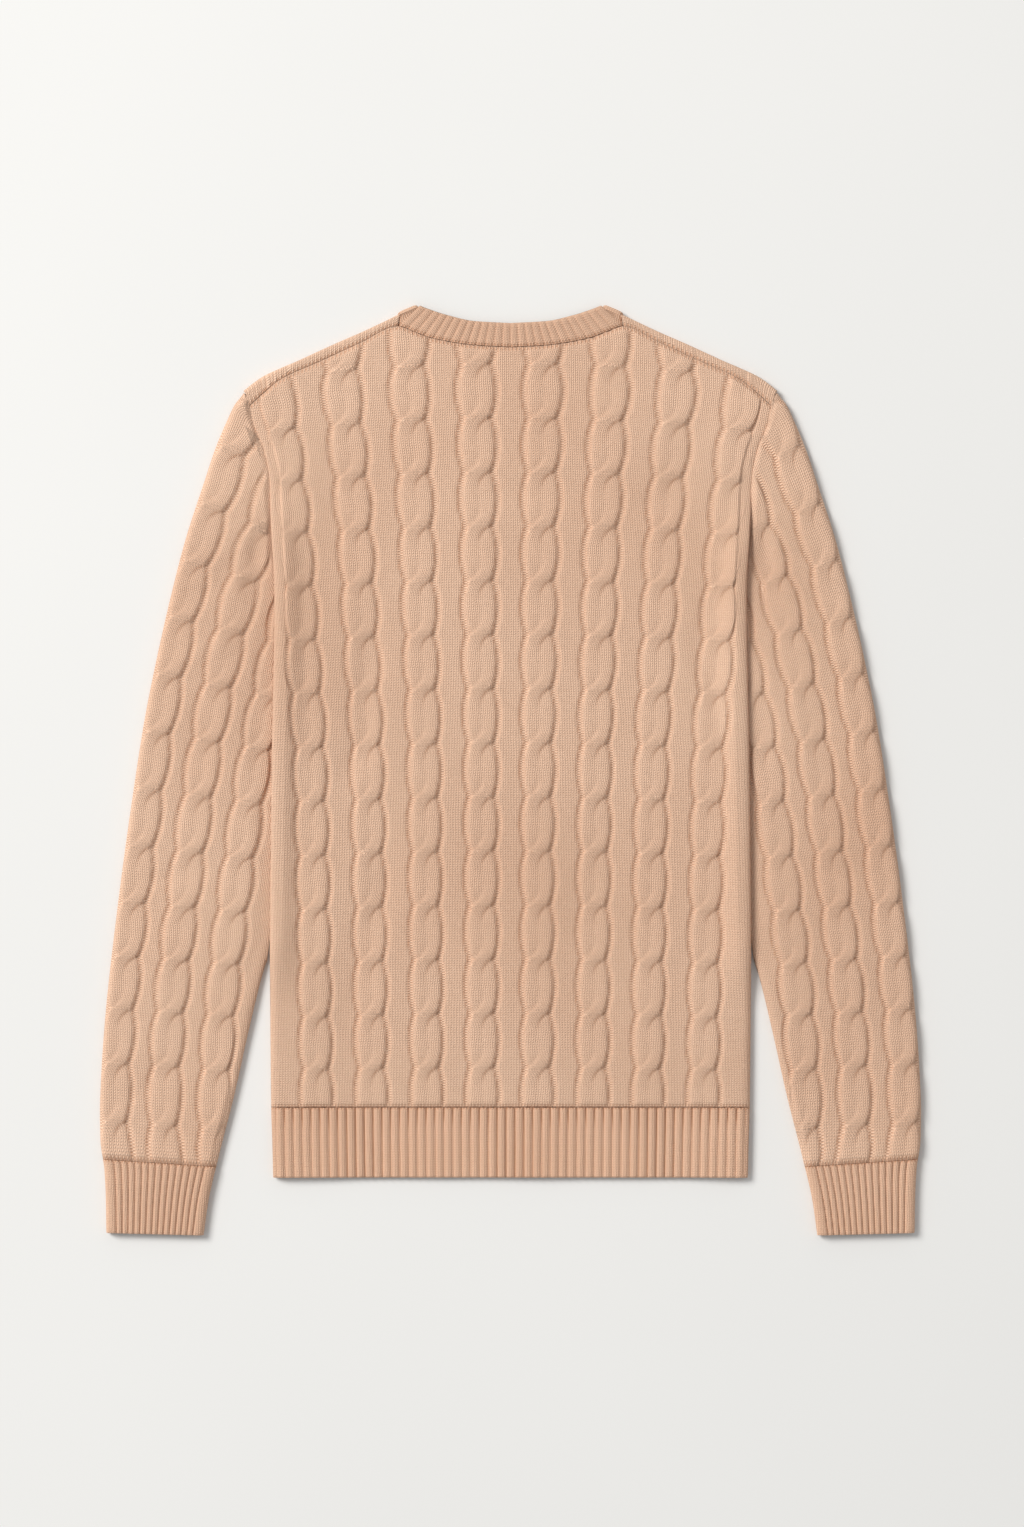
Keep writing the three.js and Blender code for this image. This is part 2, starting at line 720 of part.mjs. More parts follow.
// The same cables turn the same way on both sleeves, so the mirrored one swaps its strands.
function sleeve(isMirrored) {
  const { first, last } = SLEEVE_COURSES;
  const courses = coursesBetween(first, last).reverse();
  const mirror = { left: "right", right: "left" };
  const columns = [...SLEEVE_CABLES].reverse().flatMap((centre) =>
    CABLE_POINTS.map(({ offset, part }) => ({
      fromOuter: centre - offset,
      part: isMirrored ? (mirror[part] ?? part) : part,
    })),
  );
  const lineAt = (course) => {
    const outerY = lookup(SLEEVE_COURSE, course, "course", "y");
    return sleeveLine(outerY, lookup(SLEEVE_SLOPE, course, "course", "slope"));
  };
  const ring = (course) => {
    const isEnd = course === first || course === last;
    const raised = columns.map(({ fromOuter, part }) => ({
      fromOuter,
      rise: isEnd ? 0 : relief(part, -course),
    }));
    return tubeRing(lineAt(course), 0, raised);
  };
  const hollow = (course) => tubeRing(lineAt(course), WALL, HOLLOW_COLUMNS);
  const wall = Wall.between(courses.map(ring), thinned(courses, 4).map(hollow), { closed: true });
  return isMirrored ? wall.mirrored() : wall;
}

function cuff(isMirrored) {
  const top = lookup(SLEEVE_COURSE, SLEEVE_COURSES.last, "course", "y") - SEAM_GAP;
  const slope = lookup(SLEEVE_SLOPE, SLEEVE_COURSES.last, "course", "slope");
  const levels = [
    { outerY: CUFF_END_Y, slope: CUFF_END_SLOPE, ribs: RIM_RIBS },
    { outerY: CUFF_END_Y + RIM_WIDTH, slope: CUFF_END_SLOPE, ribs: 1 },
    { outerY: top, slope, ribs: 1 },
  ];
  const outer = levels.map(({ outerY, slope: drop, ribs }) => {
    const line = sleeveLine(outerY, drop);
    const inside = line.width - 2 * SLEEVE_ROLL;
    const columns = Array.from({ length: 2 * CUFF_RIBS - 1 }, (unused, index) => ({
      fromOuter: line.width - SLEEVE_ROLL - (inside * (index + 1)) / (2 * CUFF_RIBS),
      rise: index % 2 === 0 ? RIB_RISE * ribs : 0,
    }));
    return tubeRing(line, 0, columns);
  });
  const inner = [levels[0], levels[2]].map(({ outerY, slope: drop }) =>
    tubeRing(sleeveLine(outerY, drop), BAND_WALL, HOLLOW_COLUMNS),
  );
  const wall = Wall.between(outer, inner, { closed: true });
  return isMirrored ? wall.mirrored() : wall;
}

// Point on a curve of a table, on either side of the middle, moved away from the seam.
function curvePoint(table, x, away) {
  return new THREE.Vector3(x, lookup(table, Math.abs(x), "x", "y") + away, 0);
}

// The neckband is a strip round the neck, folded at both sides of the neck.
function neckband() {
  const radius = BAND_HEIGHT / 2;
  const stations = [];
  const backCount = 2 * NECK_RIBS;
  for (let i = 0; i <= backCount; i += 1) {
    const share = (2 * i) / backCount - 1;
    stations.push({
      seam: curvePoint(BACK_TOP, share * BAND_SPAN.seam, BAND_GAP),
      top: curvePoint(BAND_TOP_BACK, share * BAND_SPAN.top, 0),
      angle: 90,
      rise: i % 2 === 1 ? NECK_RIB_RISE : 0,
    });
  }
  const fold = (side, angle) => ({
    seam: new THREE.Vector3(side * BAND_FOLD.seam.x, BAND_FOLD.seam.y, 0),
    top: new THREE.Vector3(side * BAND_FOLD.top.x, BAND_FOLD.top.y, 0),
    angle,
    side,
    rise: 0,
  });
  BAND_FOLD_ANGLES.forEach((angle) => stations.push(fold(1, angle)));
  for (let i = 0; i <= NECK_FRONT_STEPS; i += 1) {
    const share = 1 - (2 * i) / NECK_FRONT_STEPS;
    const seamX = share * BAND_SPAN.frontSeam;
    stations.push({
      seam: curvePoint(FRONT_NECK, seamX, SEAM_GAP + Math.abs(share) ** 3 * STEEP_GAP),
      top: curvePoint(BAND_TOP_FRONT, share * BAND_SPAN.frontTop, 0),
      angle: -90,
      rise: 0,
    });
  }
  [...BAND_FOLD_ANGLES].reverse().forEach((angle) => stations.push(fold(-1, angle)));

  const point = ({ seam, top, angle, side, rise }, depth, share, sink) => {
    const across = new THREE.Vector3().subVectors(top, seam);
    const outward = new THREE.Vector3(across.y, -across.x, 0).normalize();
    if (side < 0) outward.negate();
    const turn = THREE.MathUtils.degToRad(angle);
    const reach = radius - depth + (depth === 0 ? rise - sink : 0);
    const place = new THREE.Vector3().addVectors(seam, across.multiplyScalar(share));
    if (side) place.addScaledVector(outward, reach * Math.cos(turn) - radius);
    place.z = radius + reach * Math.sin(turn);
    return place;
  };
  const outer = BAND_SHARES.map(({ share, sink }) =>
    stations.map((station) => point(station, 0, share, station.angle === 90 ? sink : 0)),
  );
  const inner = [0, BAND_INNER_SHARE].map((share) =>
    stations.filter(({ rise }) => rise === 0).map((station) => point(station, BAND_WALL, share, 0)),
  );
  return Wall.between(outer, inner, { closed: true });
}

const group = new THREE.Group();
const pieces = {
  back: back(),
  front: front(),
  hem_rib_back: hemRibBack(),
  hem_rib_front: hemRibFront(),
  sleeve_right: sleeve(false),
  sleeve_left: sleeve(true),
  cuff_right: cuff(false),
  cuff_left: cuff(true),
  neckband: neckband(),
};
for (const [name, wall] of Object.entries(pieces)) group.add(wall.mesh(name));

export default group;
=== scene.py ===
"""Visual model of a cable knit sweater that lies flat with its back up.

Every size is in millimetres and becomes metres when a mesh is filled in. The tables repeat
the CAD part's own sizes and are read here along smooth curves.
"""

import logging
import math
from dataclasses import dataclass, field
from enum import Enum

import bmesh
import bpy
import numpy as np
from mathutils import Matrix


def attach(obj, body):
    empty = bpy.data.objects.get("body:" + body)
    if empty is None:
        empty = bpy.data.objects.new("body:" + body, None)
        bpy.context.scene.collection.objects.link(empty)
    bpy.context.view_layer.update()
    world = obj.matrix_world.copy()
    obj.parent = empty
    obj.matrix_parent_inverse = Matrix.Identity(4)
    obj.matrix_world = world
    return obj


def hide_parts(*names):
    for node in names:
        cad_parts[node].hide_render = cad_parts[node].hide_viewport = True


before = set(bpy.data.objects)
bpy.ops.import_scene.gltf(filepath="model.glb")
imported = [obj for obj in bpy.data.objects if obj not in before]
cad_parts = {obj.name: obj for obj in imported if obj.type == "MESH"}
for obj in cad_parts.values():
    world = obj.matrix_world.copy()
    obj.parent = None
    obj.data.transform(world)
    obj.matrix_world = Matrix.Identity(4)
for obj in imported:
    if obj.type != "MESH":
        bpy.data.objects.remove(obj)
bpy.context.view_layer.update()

LOG = logging.getLogger("sweater")
Array = np.ndarray
Table = tuple[tuple[float, float], ...]

MM = 0.001
BODY_NAME = "root"

# The whole garment.
THICKNESS = 1.5
LINING_DEPTH = 2.3
SEAM_GAP = 0.08
SEAM_HEIGHT = 3.9
EDGE_ROLL = 7.0
BODY_HEIGHT = 8.0
BODY_SAG = 2.0
SAG_WIDTH = 70.0
HEM_Y = -321.5
HEM_TOP_Y = -266.2
SHOULDER_Y = 286.0
SHOULDER_HALF = 206.6
NECK_CORNER_X = 88.5
UNROLL_FROM = 262.0
UNROLL_TO = 284.0

# The armhole seam is shallow, because the edge of the sleeve lies just under the body's.
ARMHOLE_SHARE = 0.5
ARMHOLE_ROLL = 5.0
ARMHOLE_START = (150.0, 185.0)
ARMHOLE_TUCK = 1.8

# The body's side edge lies on the sleeve's inner edge.
TUCK = 6.0
TUCKED_HEIGHT = 5.1
BODY_LIFT = 6.2
LIFT_NEAR = 7.0
LIFT_FAR = 26.0
LIFT_LOW = (-190.0, -135.0)
LIFT_HIGH = (165.0, 225.0)


def smooth(low: float, high: float, value: Array) -> Array:
    """Share from 0 to 1 between two values, level at both ends."""
    share = np.clip((value - low) / (high - low), 0.0, 1.0)
    return share * share * (3.0 - 2.0 * share)


def mix(start: Array, end: Array, share: Array) -> Array:
    """Value between a start and an end."""
    return start + (end - start) * share


def roll(distance: Array, width: Array) -> Array:
    """Height share of a round edge at a distance from it."""
    share = np.clip(distance / width, 0.0, 1.0)
    return np.sqrt(1.0 - (1.0 - share) ** 2)


def hump(place: Array) -> Array:
    """Soft bump of height 1 between -1 and 1."""
    return np.clip(1.0 - place**2, 0.0, 1.0) ** 2


@dataclass(frozen=True)
class Curve:
    """Smooth line through the points of a table, level beyond its ends."""

    points: Table

    def __call__(self, where: Array | float) -> Array:
        """Read the curve.

        Args:
            where: Places along the table's first column.

        Returns:
            Values of the second column.
        """
        x, y = np.array(self.points, dtype=float).T
        step = np.diff(x)
        rise = np.diff(y) / step
        slope = np.concatenate(([rise[0]], np.zeros(len(x) - 2), [rise[-1]]))
        before, after = rise[:-1], rise[1:]
        same = before * after > 0
        safe = np.where(same, before + after, 1.0)
        slope[1:-1] = np.where(same, 2.0 * before * after / safe, 0.0)
        at = np.clip(where, x[0], x[-1])
        cell = np.clip(np.searchsorted(x, at, side="right") - 1, 0, len(x) - 2)
        width = step[cell]
        t = (at - x[cell]) / width
        start = (1.0 + 2.0 * t) * (1.0 - t) ** 2 * y[cell] + t * (1.0 - t) ** 2 * width * slope[cell]
        end = t * t * (3.0 - 2.0 * t) * y[cell + 1] + t * t * (t - 1.0) * width * slope[cell + 1]
        return start + end


BODY_SIDE = Curve(
    (
        (-321.5, 187.6),
        (-266.2, 188.8),
        (-162.0, 189.6),
        (15.8, 188.0),
        (134.3, 186.0),
        (205.4, 189.4),
        (229.0, 190.4),
        (252.8, 195.1),
        (271.8, 203.0),
        (286.0, 206.6),
    )
)
BACK_TOP = Curve(
    (
        (0.0, 333.4),
        (28.4, 335.0),
        (61.6, 340.5),
        (75.8, 345.6),
        (88.5, 350.0),
        (118.5, 336.8),
        (150.1, 322.2),
        (180.6, 308.2),
        (194.6, 297.0),
        (206.6, 286.0),
    )
)
SHOULDER_FOLD = Curve(
    ((88.5, 360.2), (113.0, 347.6), (139.8, 335.8), (165.5, 323.9), (190.8, 312.1), (206.6, 299.0))
)
FRONT_NECK = Curve(((0.0, 281.0), (28.0, 284.5), (52.0, 297.0), (70.4, 318.0), (88.5, 357.0)))
BAND_TOP_BACK = Curve(((0.0, 352.6), (28.4, 354.2), (49.0, 358.7), (66.0, 364.2), (71.4, 366.4)))
BAND_TOP_FRONT = Curve(((0.0, 300.0), (22.0, 303.0), (40.0, 315.0), (54.0, 335.0), (64.0, 357.0)))
CABLE_PITCH = Curve(
    (
        (-266.2, 43.5),
        (-102.7, 44.2),
        (15.8, 45.0),
        (94.8, 46.6),
        (173.8, 48.3),
        (256.8, 51.0),
        (300.2, 52.9),
    )
)
COURSE_DROOP = Curve(((-0.76, 0.0), (1.0, 2.8), (9.0, 4.7), (12.0, 9.5)))
SLEEVE_OUTER = Curve(
    (
        (-366.0, 318.8),
        (-339.7, 319.2),
        (-316.0, 320.3),
        (-292.3, 323.5),
        (-268.6, 323.9),
        (-244.9, 323.1),
        (-197.5, 319.9),
        (-102.7, 309.3),
        (-7.9, 296.2),
        (39.5, 288.7),
        (86.9, 279.3),
        (134.3, 268.6),
        (181.7, 256.4),
        (229.1, 241.0),
        (252.8, 233.1),
        (276.5, 223.2),
        (288.4, 217.4),
        (293.9, 213.0),
        (298.6, 209.6),
    )
)
SLEEVE_INNER = Curve(
    (
        (-368.0, 242.2),
        (-339.7, 238.2),
        (-304.2, 230.0),
        (-256.8, 218.0),
        (-209.4, 207.4),
        (-162.0, 195.9),
        (-142.0, 189.5),
        (-122.0, 183.2),
    )
)
TUCK_ALONG = Curve(((145.0, 1.0), (172.0, 0.0)))
SLEEVE_COURSE = Curve(
    (
        (-1.05, 297.5),
        (-0.9, 293.9),
        (-0.5, 282.0),
        (0.0, 258.3),
        (4.0, 77.4),
        (8.0, -102.7),
        (12.0, -275.7),
        (12.57, -306.9),
    )
)
SLEEVE_SLOPE = Curve(
    (
        (-1.05, 1.7),
        (-0.9, 1.3),
        (-0.5, 0.75),
        (0.0, 0.5),
        (1.0, 0.43),
        (2.0, 0.31),
        (4.0, 0.2),
        (6.0, 0.13),
        (10.0, 0.06),
        (12.57, 0.065),
    )
)

BODY_CABLES = 8
REFERENCE_PITCH = 45.5
FIRST_CROSSING = -233.8
CROSSING_EVERY = 42.66


def lift_along(y: Array) -> Array:
    """Share of the side edge's lift at a height."""
    return smooth(*LIFT_LOW, y) * (1.0 - smooth(*LIFT_HIGH, y))


def body_lift(from_edge: Array, y: Array) -> Array:
    """Lift of the body where it lies on a sleeve."""
    return BODY_LIFT * lift_along(y) * (1.0 - smooth(LIFT_NEAR, LIFT_FAR, from_edge))


def body_top(from_edge: Array) -> Array:
    """Height of the body's top without its cables."""
    return BODY_HEIGHT - BODY_SAG * smooth(EDGE_ROLL, SAG_WIDTH, from_edge)


def edge_round(from_edge: Array, y: Array) -> Array:
    """Height share of the body's rolled side edge, which opens out at the shoulder."""
    seamed = ARMHOLE_SHARE + (1.0 - ARMHOLE_SHARE) * roll(from_edge, ARMHOLE_ROLL)
    side = mix(roll(from_edge, EDGE_ROLL), seamed, smooth(*ARMHOLE_START, y))
    return mix(side, 0.25 + 0.75 * seamed, smooth(UNROLL_FROM, UNROLL_TO, y))


@dataclass(frozen=True)
class Stitch:
    """Size of one knit stitch."""

    width: float = 2.6
    height: float = 1.95


STITCH = Stitch()


@dataclass(frozen=True)
class Cable:
    """Two strands that cross over each other, always the same way.

    Places across are from the cable's middle. Phases count crossings, whole at each one.
    Between two crossings the strands meet along a line that starts at the right edge below
    the upper crossing, as a hook, and ends at the left edge above the lower one.
    """

    height: float = 1.7
    narrow: float = 7.9
    bulge: float = 3.8
    hook: float = 9.4
    hook_fade: float = 4.5
    slant: float = 1.2
    step: float = 1.5
    step_fade: float = 9.0
    step_width: float = 0.8
    valley: float = 0.5
    valley_width: float = 1.1
    seam_dip: float = 0.35
    seam_width: float = 2.6
    ditch: float = 4.2
    ditch_depth: float = 0.8
    panel: float = 0.6
    strand_wales: float = 4.0
    fullness: float = 8.5

    def border(self, below: Array) -> Array:
        """Place across of the line between the strands, below the upper crossing by a share."""
        fall = CROSSING_EVERY / self.hook_fade
        ends = np.exp(-fall * below) - np.exp(-fall * (1.0 - below))
        return self.hook * ends + self.slant * (2.0 * smooth(0.3, 0.7, below) - 1.0)

    def read(self, across: Array, phase: Array) -> "Fabric":
        """Shape of the fabric at some places of a cable.

        Args:
            across: Distance to the right of the cable's middle.
            phase: Crossings counted towards +Y.

        Returns:
            The fabric there, with its wales counted from the cable's middle and its painted shade.
        """
        below = np.ceil(phase) - phase
        edge = self.narrow + self.bulge * np.sin(math.pi * below) ** 0.8
        border = self.border(below)
        fade = CROSSING_EVERY / self.step_fade
        upper, lower = np.exp(-((fade * below) ** 2)), np.exp(-((fade * (1.0 - below)) ** 2))
        place = across - border
        steps = -0.5 * self.step * np.tanh(place / self.step_width) * (upper - lower)
        line = np.exp(-((place / self.valley_width) ** 2)) * (upper + lower)
        share = np.clip(np.abs(across) / edge, 0.0, 1.0)
        crown = np.sqrt(1.0 - share**self.fullness)
        inside = smooth(0.0, 0.25, crown)
        soft = self.seam_dip * np.exp(-((place / self.seam_width) ** 2))
        relief = self.height * crown + (steps - self.valley * line - soft) * inside
        gap = (np.abs(across) - edge) / self.ditch
        bottom = np.clip(1.0 - (2.0 * gap - 1.0) ** 4, 0.0, 1.0) * (gap > 0)
        purl = smooth(-0.05, 0.1, gap) * (1.0 - smooth(0.9, 1.05, gap))
        swept = self.strand_wales * (across - border / 2.0) / edge
        wale = np.where(gap < 0.0, swept, across / STITCH.width)
        # Painted shade: a dark line along the hook below each upper crossing, and along the left side of each
        # ditch, the side away from the lamp.
        hook = np.exp(-((place / 0.9) ** 2)) * upper * inside
        from_left = np.where(across > 0.0, gap, 1.0 - gap)
        ditch_edge_shade = hump((from_left - 0.06) / 0.22) + 0.25 * hump((from_left - 0.95) / 0.2)
        shade = np.clip(0.6 * ditch_edge_shade + 0.75 * hook, 0.0, 1.0)
        panel = self.panel * roll((gap - 1.0) * self.ditch, 2.0)
        lip = 0.12 * hump((gap - 1.25) / 0.3)
        relief = relief - self.ditch_depth * bottom + panel + lip
        return Fabric(relief, wale, purl, shade)


@dataclass
class Fabric:
    """What the fabric is like at some places: relief, wales, purl share and painted shade."""

    relief: Array
    wale: Array
    purl: Array
    shade: Array


CABLE = Cable()


@dataclass(frozen=True)
class Crease:
    """Soft trough or ridge pressed into cloth that lies flat."""

    x: float
    y: float
    turn: float
    length: float
    width: float
    height: float

    def read(self, x: Array, y: Array) -> Array:
        """Height of the crease at some places."""
        angle = math.radians(self.turn)
        along = ((x - self.x) * -math.sin(angle) + (y - self.y) * math.cos(angle)) / self.length
        side = ((x - self.x) * math.cos(angle) + (y - self.y) * math.sin(angle)) / self.width
        wander = 0.45 * np.sin(2.3 * along + self.x) + 0.2 * np.sin(5.1 * along + self.y)
        uneven = 1.0 + 0.25 * np.sin(3.7 * along + self.y)
        return self.height * uneven * np.exp(-((side - wander) ** 2) - along**2)


def creased(creases: tuple[Crease, ...], x: Array, y: Array) -> Array:
    """Sum of the heights of some creases."""
    return sum((crease.read(x, y) for crease in creases), np.zeros_like(x))


BODY_CREASES = (
    Crease(-117.0, 55.0, -12.0, 62.0, 12.0, -3.0),
    Crease(-112.0, -120.0, -7.0, 75.0, 13.0, -2.2),
    Crease(156.0, 92.0, 8.0, 48.0, 10.0, -2.6),
    Crease(-60.0, -150.0, 10.0, 90.0, 16.0, -0.9),
    Crease(75.0, -60.0, -6.0, 110.0, 18.0, -0.9),
    Crease(-30.0, 150.0, 5.0, 80.0, 18.0, 0.8),
    Crease(40.0, 215.0, 84.0, 90.0, 14.0, -0.8),
    Crease(-140.0, 215.0, 40.0, 50.0, 13.0, -1.1),
    Crease(128.0, 235.0, -38.0, 55.0, 13.0, -1.1),
    Crease(118.0, -185.0, -8.0, 70.0, 14.0, 0.9),
    Crease(-150.0, -90.0, 3.0, 80.0, 12.0, 0.9),
)
SLEEVE_CREASES = (
    Crease(205.0, 145.0, 6.0, 60.0, 8.0, -2.4),
    Crease(205.0, 25.0, 4.0, 70.0, 9.0, -1.6),
    Crease(232.0, 150.0, 62.0, 38.0, 9.0, -1.2),
    Crease(243.0, 95.0, 68.0, 36.0, 8.0, 0.9),
    Crease(250.0, 20.0, 12.0, 60.0, 12.0, -0.9),
    Crease(262.0, -80.0, 72.0, 34.0, 9.0, -1.0),
    Crease(276.0, -170.0, 14.0, 60.0, 12.0, 0.8),
    Crease(283.0, -245.0, 64.0, 32.0, 8.0, -1.0),
)


@dataclass(frozen=True)
class KnitFinish:
    """Matt yarn with stitches, drawn on a piece's own knit map.

    The map counts stitches: wales across and courses along.
    """

    name: str
    yarn: tuple[float, float, float]
    # Colour of painted shade, also of the darker random patches and of the stitch holes.
    shade_and_patch_colour: tuple[float, float, float]
    light: tuple[float, float, float]
    stitch_depth: float
    ribbed: bool = False
    roughness: float = 0.95
    sheen: float = 0.25

    def material(self) -> bpy.types.Material:
        """Make the material, or find it if an earlier piece made it."""
        found = bpy.data.materials.get(self.name)
        if found:
            return found
        material = bpy.data.materials.new(self.name)
        material.use_nodes = True
        sketch = Sketch(material.node_tree)
        shader = material.node_tree.nodes["Principled BSDF"]
        shader.inputs["Roughness"].default_value = self.roughness
        shader.inputs["Specular IOR Level"].default_value = 0.2
        shader.inputs["Sheen Weight"].default_value = self.sheen
        shader.inputs["Sheen Roughness"].default_value = 0.6
        shader.inputs["Sheen Tint"].default_value = (*self.light, 1.0)
        height = self.stitches(sketch)
        tone = self.tone(sketch, height)
        sketch.join(tone, shader.inputs["Base Color"])
        fuzz = sketch.noise(900.0, 4.0)
        rough = sketch.math("MULTIPLY_ADD", fuzz, 0.6, height)
        rough = sketch.math("SUBTRACT", rough, self.holes(sketch))
        bump = sketch.node("ShaderNodeBump")
        bump.inputs["Distance"].default_value = self.stitch_depth * MM
        bump.inputs["Strength"].default_value = 1.0
        sketch.join(rough, bump.inputs["Height"])
        sketch.join(bump.outputs["Normal"], shader.inputs["Normal"])
        return material

    def stitches(self, sketch: "Sketch") -> bpy.types.NodeSocket:
        """Height of the stitches, from 0 between them to 1 on their legs."""
        wale, course = sketch.knit_map()
        stray = sketch.noise(90.0, 2.0)
        wale = sketch.math("MULTIPLY_ADD", stray, 0.5, wale)
        course = sketch.math("MULTIPLY_ADD", stray, 0.6, course)
        part = sketch.math("SUBTRACT", sketch.math("FRACT", wale), 0.5)
        off = sketch.math("ABSOLUTE", part)
        leg = sketch.math("SINE", sketch.math("MULTIPLY", off, 2.0 * math.pi))
        leg = sketch.math("POWER", sketch.math("MAXIMUM", leg, 0.0), 0.6)
        lean = sketch.math("MULTIPLY_ADD", off, -1.3, course)
        wave = sketch.math("COSINE", sketch.math("MULTIPLY", lean, 2.0 * math.pi))
        loop = sketch.math("MULTIPLY_ADD", wave, 0.32, 0.68)
        plain = sketch.math("MULTIPLY", leg, loop)
        turn = sketch.math("MULTIPLY", sketch.math("FLOOR", wale), 0.5)
        rung = sketch.math("MULTIPLY", sketch.math("ADD", course, turn), 2.0 * math.pi)
        rung = sketch.math("MULTIPLY_ADD", sketch.math("COSINE", rung), 0.5, 0.55)
        return sketch.blend(plain, rung, sketch.attribute("purl"))

    def tone(self, sketch: "Sketch", height: bpy.types.NodeSocket) -> bpy.types.NodeSocket:
        """Colour of the yarn with painted shade between stitches, in purl hollows, at ditches, cable hooks and
        rib troughs; with soft random patches, stray fibres and darker stitch holes.
        """
        # Painted shade between stitches: the low parts of each stitch take the shade colour.
        base = sketch.colours(height, self.shade_and_patch_colour, self.yarn)
        patches = sketch.noise(9.0, 2.0)
        base = sketch.tint(base, self.light, sketch.math("MULTIPLY", patches, 0.22))
        dull = sketch.math("MULTIPLY_ADD", sketch.noise(5.0, 1.0), 1.2, -0.5)
        base = sketch.tint(base, self.shade_and_patch_colour, sketch.math("MAXIMUM", dull, 0.0))
        flecks = sketch.math("MULTIPLY", sketch.noise(420.0, 4.0), 0.30)
        base = sketch.tint(base, self.light, flecks)
        # Painted shade from the seam attribute: dark lines at ditches and cable hooks, in rib troughs and over
        # the hem.
        base = sketch.tint(base, self.shade_and_patch_colour, sketch.attribute("seam"))
        base = sketch.tint(base, self.shade_and_patch_colour, sketch.math("MULTIPLY", self.holes(sketch), 0.8))
        # Painted shade in the hollows of purl stitches.
        low = sketch.math("SUBTRACT", 0.55, height)
        low = sketch.math("MULTIPLY", low, sketch.math("MULTIPLY", sketch.attribute("purl"), 0.8))
        low = sketch.math("MAXIMUM", low, 0.0)
        return sketch.tint(base, self.shade_and_patch_colour, low)

    def holes(self, sketch: "Sketch") -> bpy.types.NodeSocket:
        """Share of the stitch holes along the seams, one to each wale."""
        wale = sketch.knit_map()[0]
        wave = sketch.math("COSINE", sketch.math("MULTIPLY", wale, 2.0 * math.pi))
        wave = sketch.math("MULTIPLY_ADD", wave, 0.6, 0.5)
        holes = sketch.math("MULTIPLY", sketch.attribute("dots"), wave)
        return sketch.math("MAXIMUM", holes, 0.0)


class Sketch:
    """Short hand for the nodes of one material."""

    def __init__(self, tree: bpy.types.NodeTree) -> None:
        self.tree = tree

    def node(self, kind: str) -> bpy.types.Node:
        """Add a node of some kind."""
        return self.tree.nodes.new(kind)

    def join(self, source: bpy.types.NodeSocket, target: bpy.types.NodeSocket) -> None:
        """Link two sockets."""
        self.tree.links.new(source, target)

    def feed(self, value: object, target: bpy.types.NodeSocket) -> None:
        """Link a socket or set a plain value."""
        if isinstance(value, bpy.types.NodeSocket):
            self.join(value, target)
        else:
            target.default_value = value

    def math(self, operation: str, *values: object) -> bpy.types.NodeSocket:
        """Sum, product or other operation on values."""
        node = self.node("ShaderNodeMath")
        node.operation = operation
        for value, target in zip(values, node.inputs):
            self.feed(value, target)
        return node.outputs[0]

    def blend(self, start: object, end: object, share: object) -> bpy.types.NodeSocket:
        """Number between two others."""
        node = self.node("ShaderNodeMix")
        node.data_type = "FLOAT"
        for value, target in zip((share, start, end), (node.inputs[0], node.inputs[2], node.inputs[3])):
            self.feed(value, target)
        return node.outputs[0]

    def colours(
        self,
        share: bpy.types.NodeSocket,
        low: tuple[float, float, float],
        high: tuple[float, float, float],
    ) -> bpy.types.NodeSocket:
        """Colour between two others."""
        node = self.node("ShaderNodeMix")
        node.data_type = "RGBA"
        self.join(share, node.inputs[0])
        node.inputs[6].default_value = (*low, 1.0)
        node.inputs[7].default_value = (*high, 1.0)
        return node.outputs[2]

    def tint(
        self,
        base: bpy.types.NodeSocket,
        other: tuple[float, float, float],
        share: bpy.types.NodeSocket,
    ) -> bpy.types.NodeSocket:
        """A colour with a share of another one."""
        node = self.node("ShaderNodeMix")
        node.data_type = "RGBA"
        self.join(share, node.inputs[0])
        self.join(base, node.inputs[6])
        node.inputs[7].default_value = (*other, 1.0)
        return node.outputs[2]

    def noise(self, scale: float, detail: float) -> bpy.types.NodeSocket:
        """Noise on the piece's own coordinates, from 0 to 1."""
        place = self.node("ShaderNodeTexCoord")
        node = self.node("ShaderNodeTexNoise")
        node.inputs["Scale"].default_value = scale
        node.inputs["Detail"].default_value = detail
        self.join(place.outputs["Object"], node.inputs["Vector"])
        return node.outputs[0]

    def attribute(self, name: str) -> bpy.types.NodeSocket:
        """Number that the mesh carries at its points."""
        node = self.node("ShaderNodeAttribute")
        node.attribute_name = name
        return node.outputs["Fac"]

    def knit_map(self) -> tuple[bpy.types.NodeSocket, bpy.types.NodeSocket]:
        """Wales and courses of the piece's knit map."""
        node = self.node("ShaderNodeUVMap")
        node.uv_map = KNIT_MAP
        split = self.node("ShaderNodeSeparateXYZ")
        self.join(node.outputs["UV"], split.inputs[0])
        return split.outputs[0], split.outputs[1]


KNIT_MAP = "knit"
CABLE_KNIT = KnitFinish(
    name="cable_knit_yarn",
    yarn=(0.98, 0.672, 0.482),
    shade_and_patch_colour=(0.59, 0.298, 0.17),
    light=(0.985, 0.745, 0.575),
    stitch_depth=0.75,
)
RIB_KNIT = KnitFinish(
    name="rib_knit_yarn",
    yarn=(0.94, 0.625, 0.438),
    shade_and_patch_colour=(0.55, 0.268, 0.15),
    light=(0.96, 0.695, 0.52),
    stitch_depth=0.7,
    ribbed=True,
)


class Side(Enum):
    """Side of the sweater, as the sign of X."""

    RIGHT = 1
    LEFT = -1


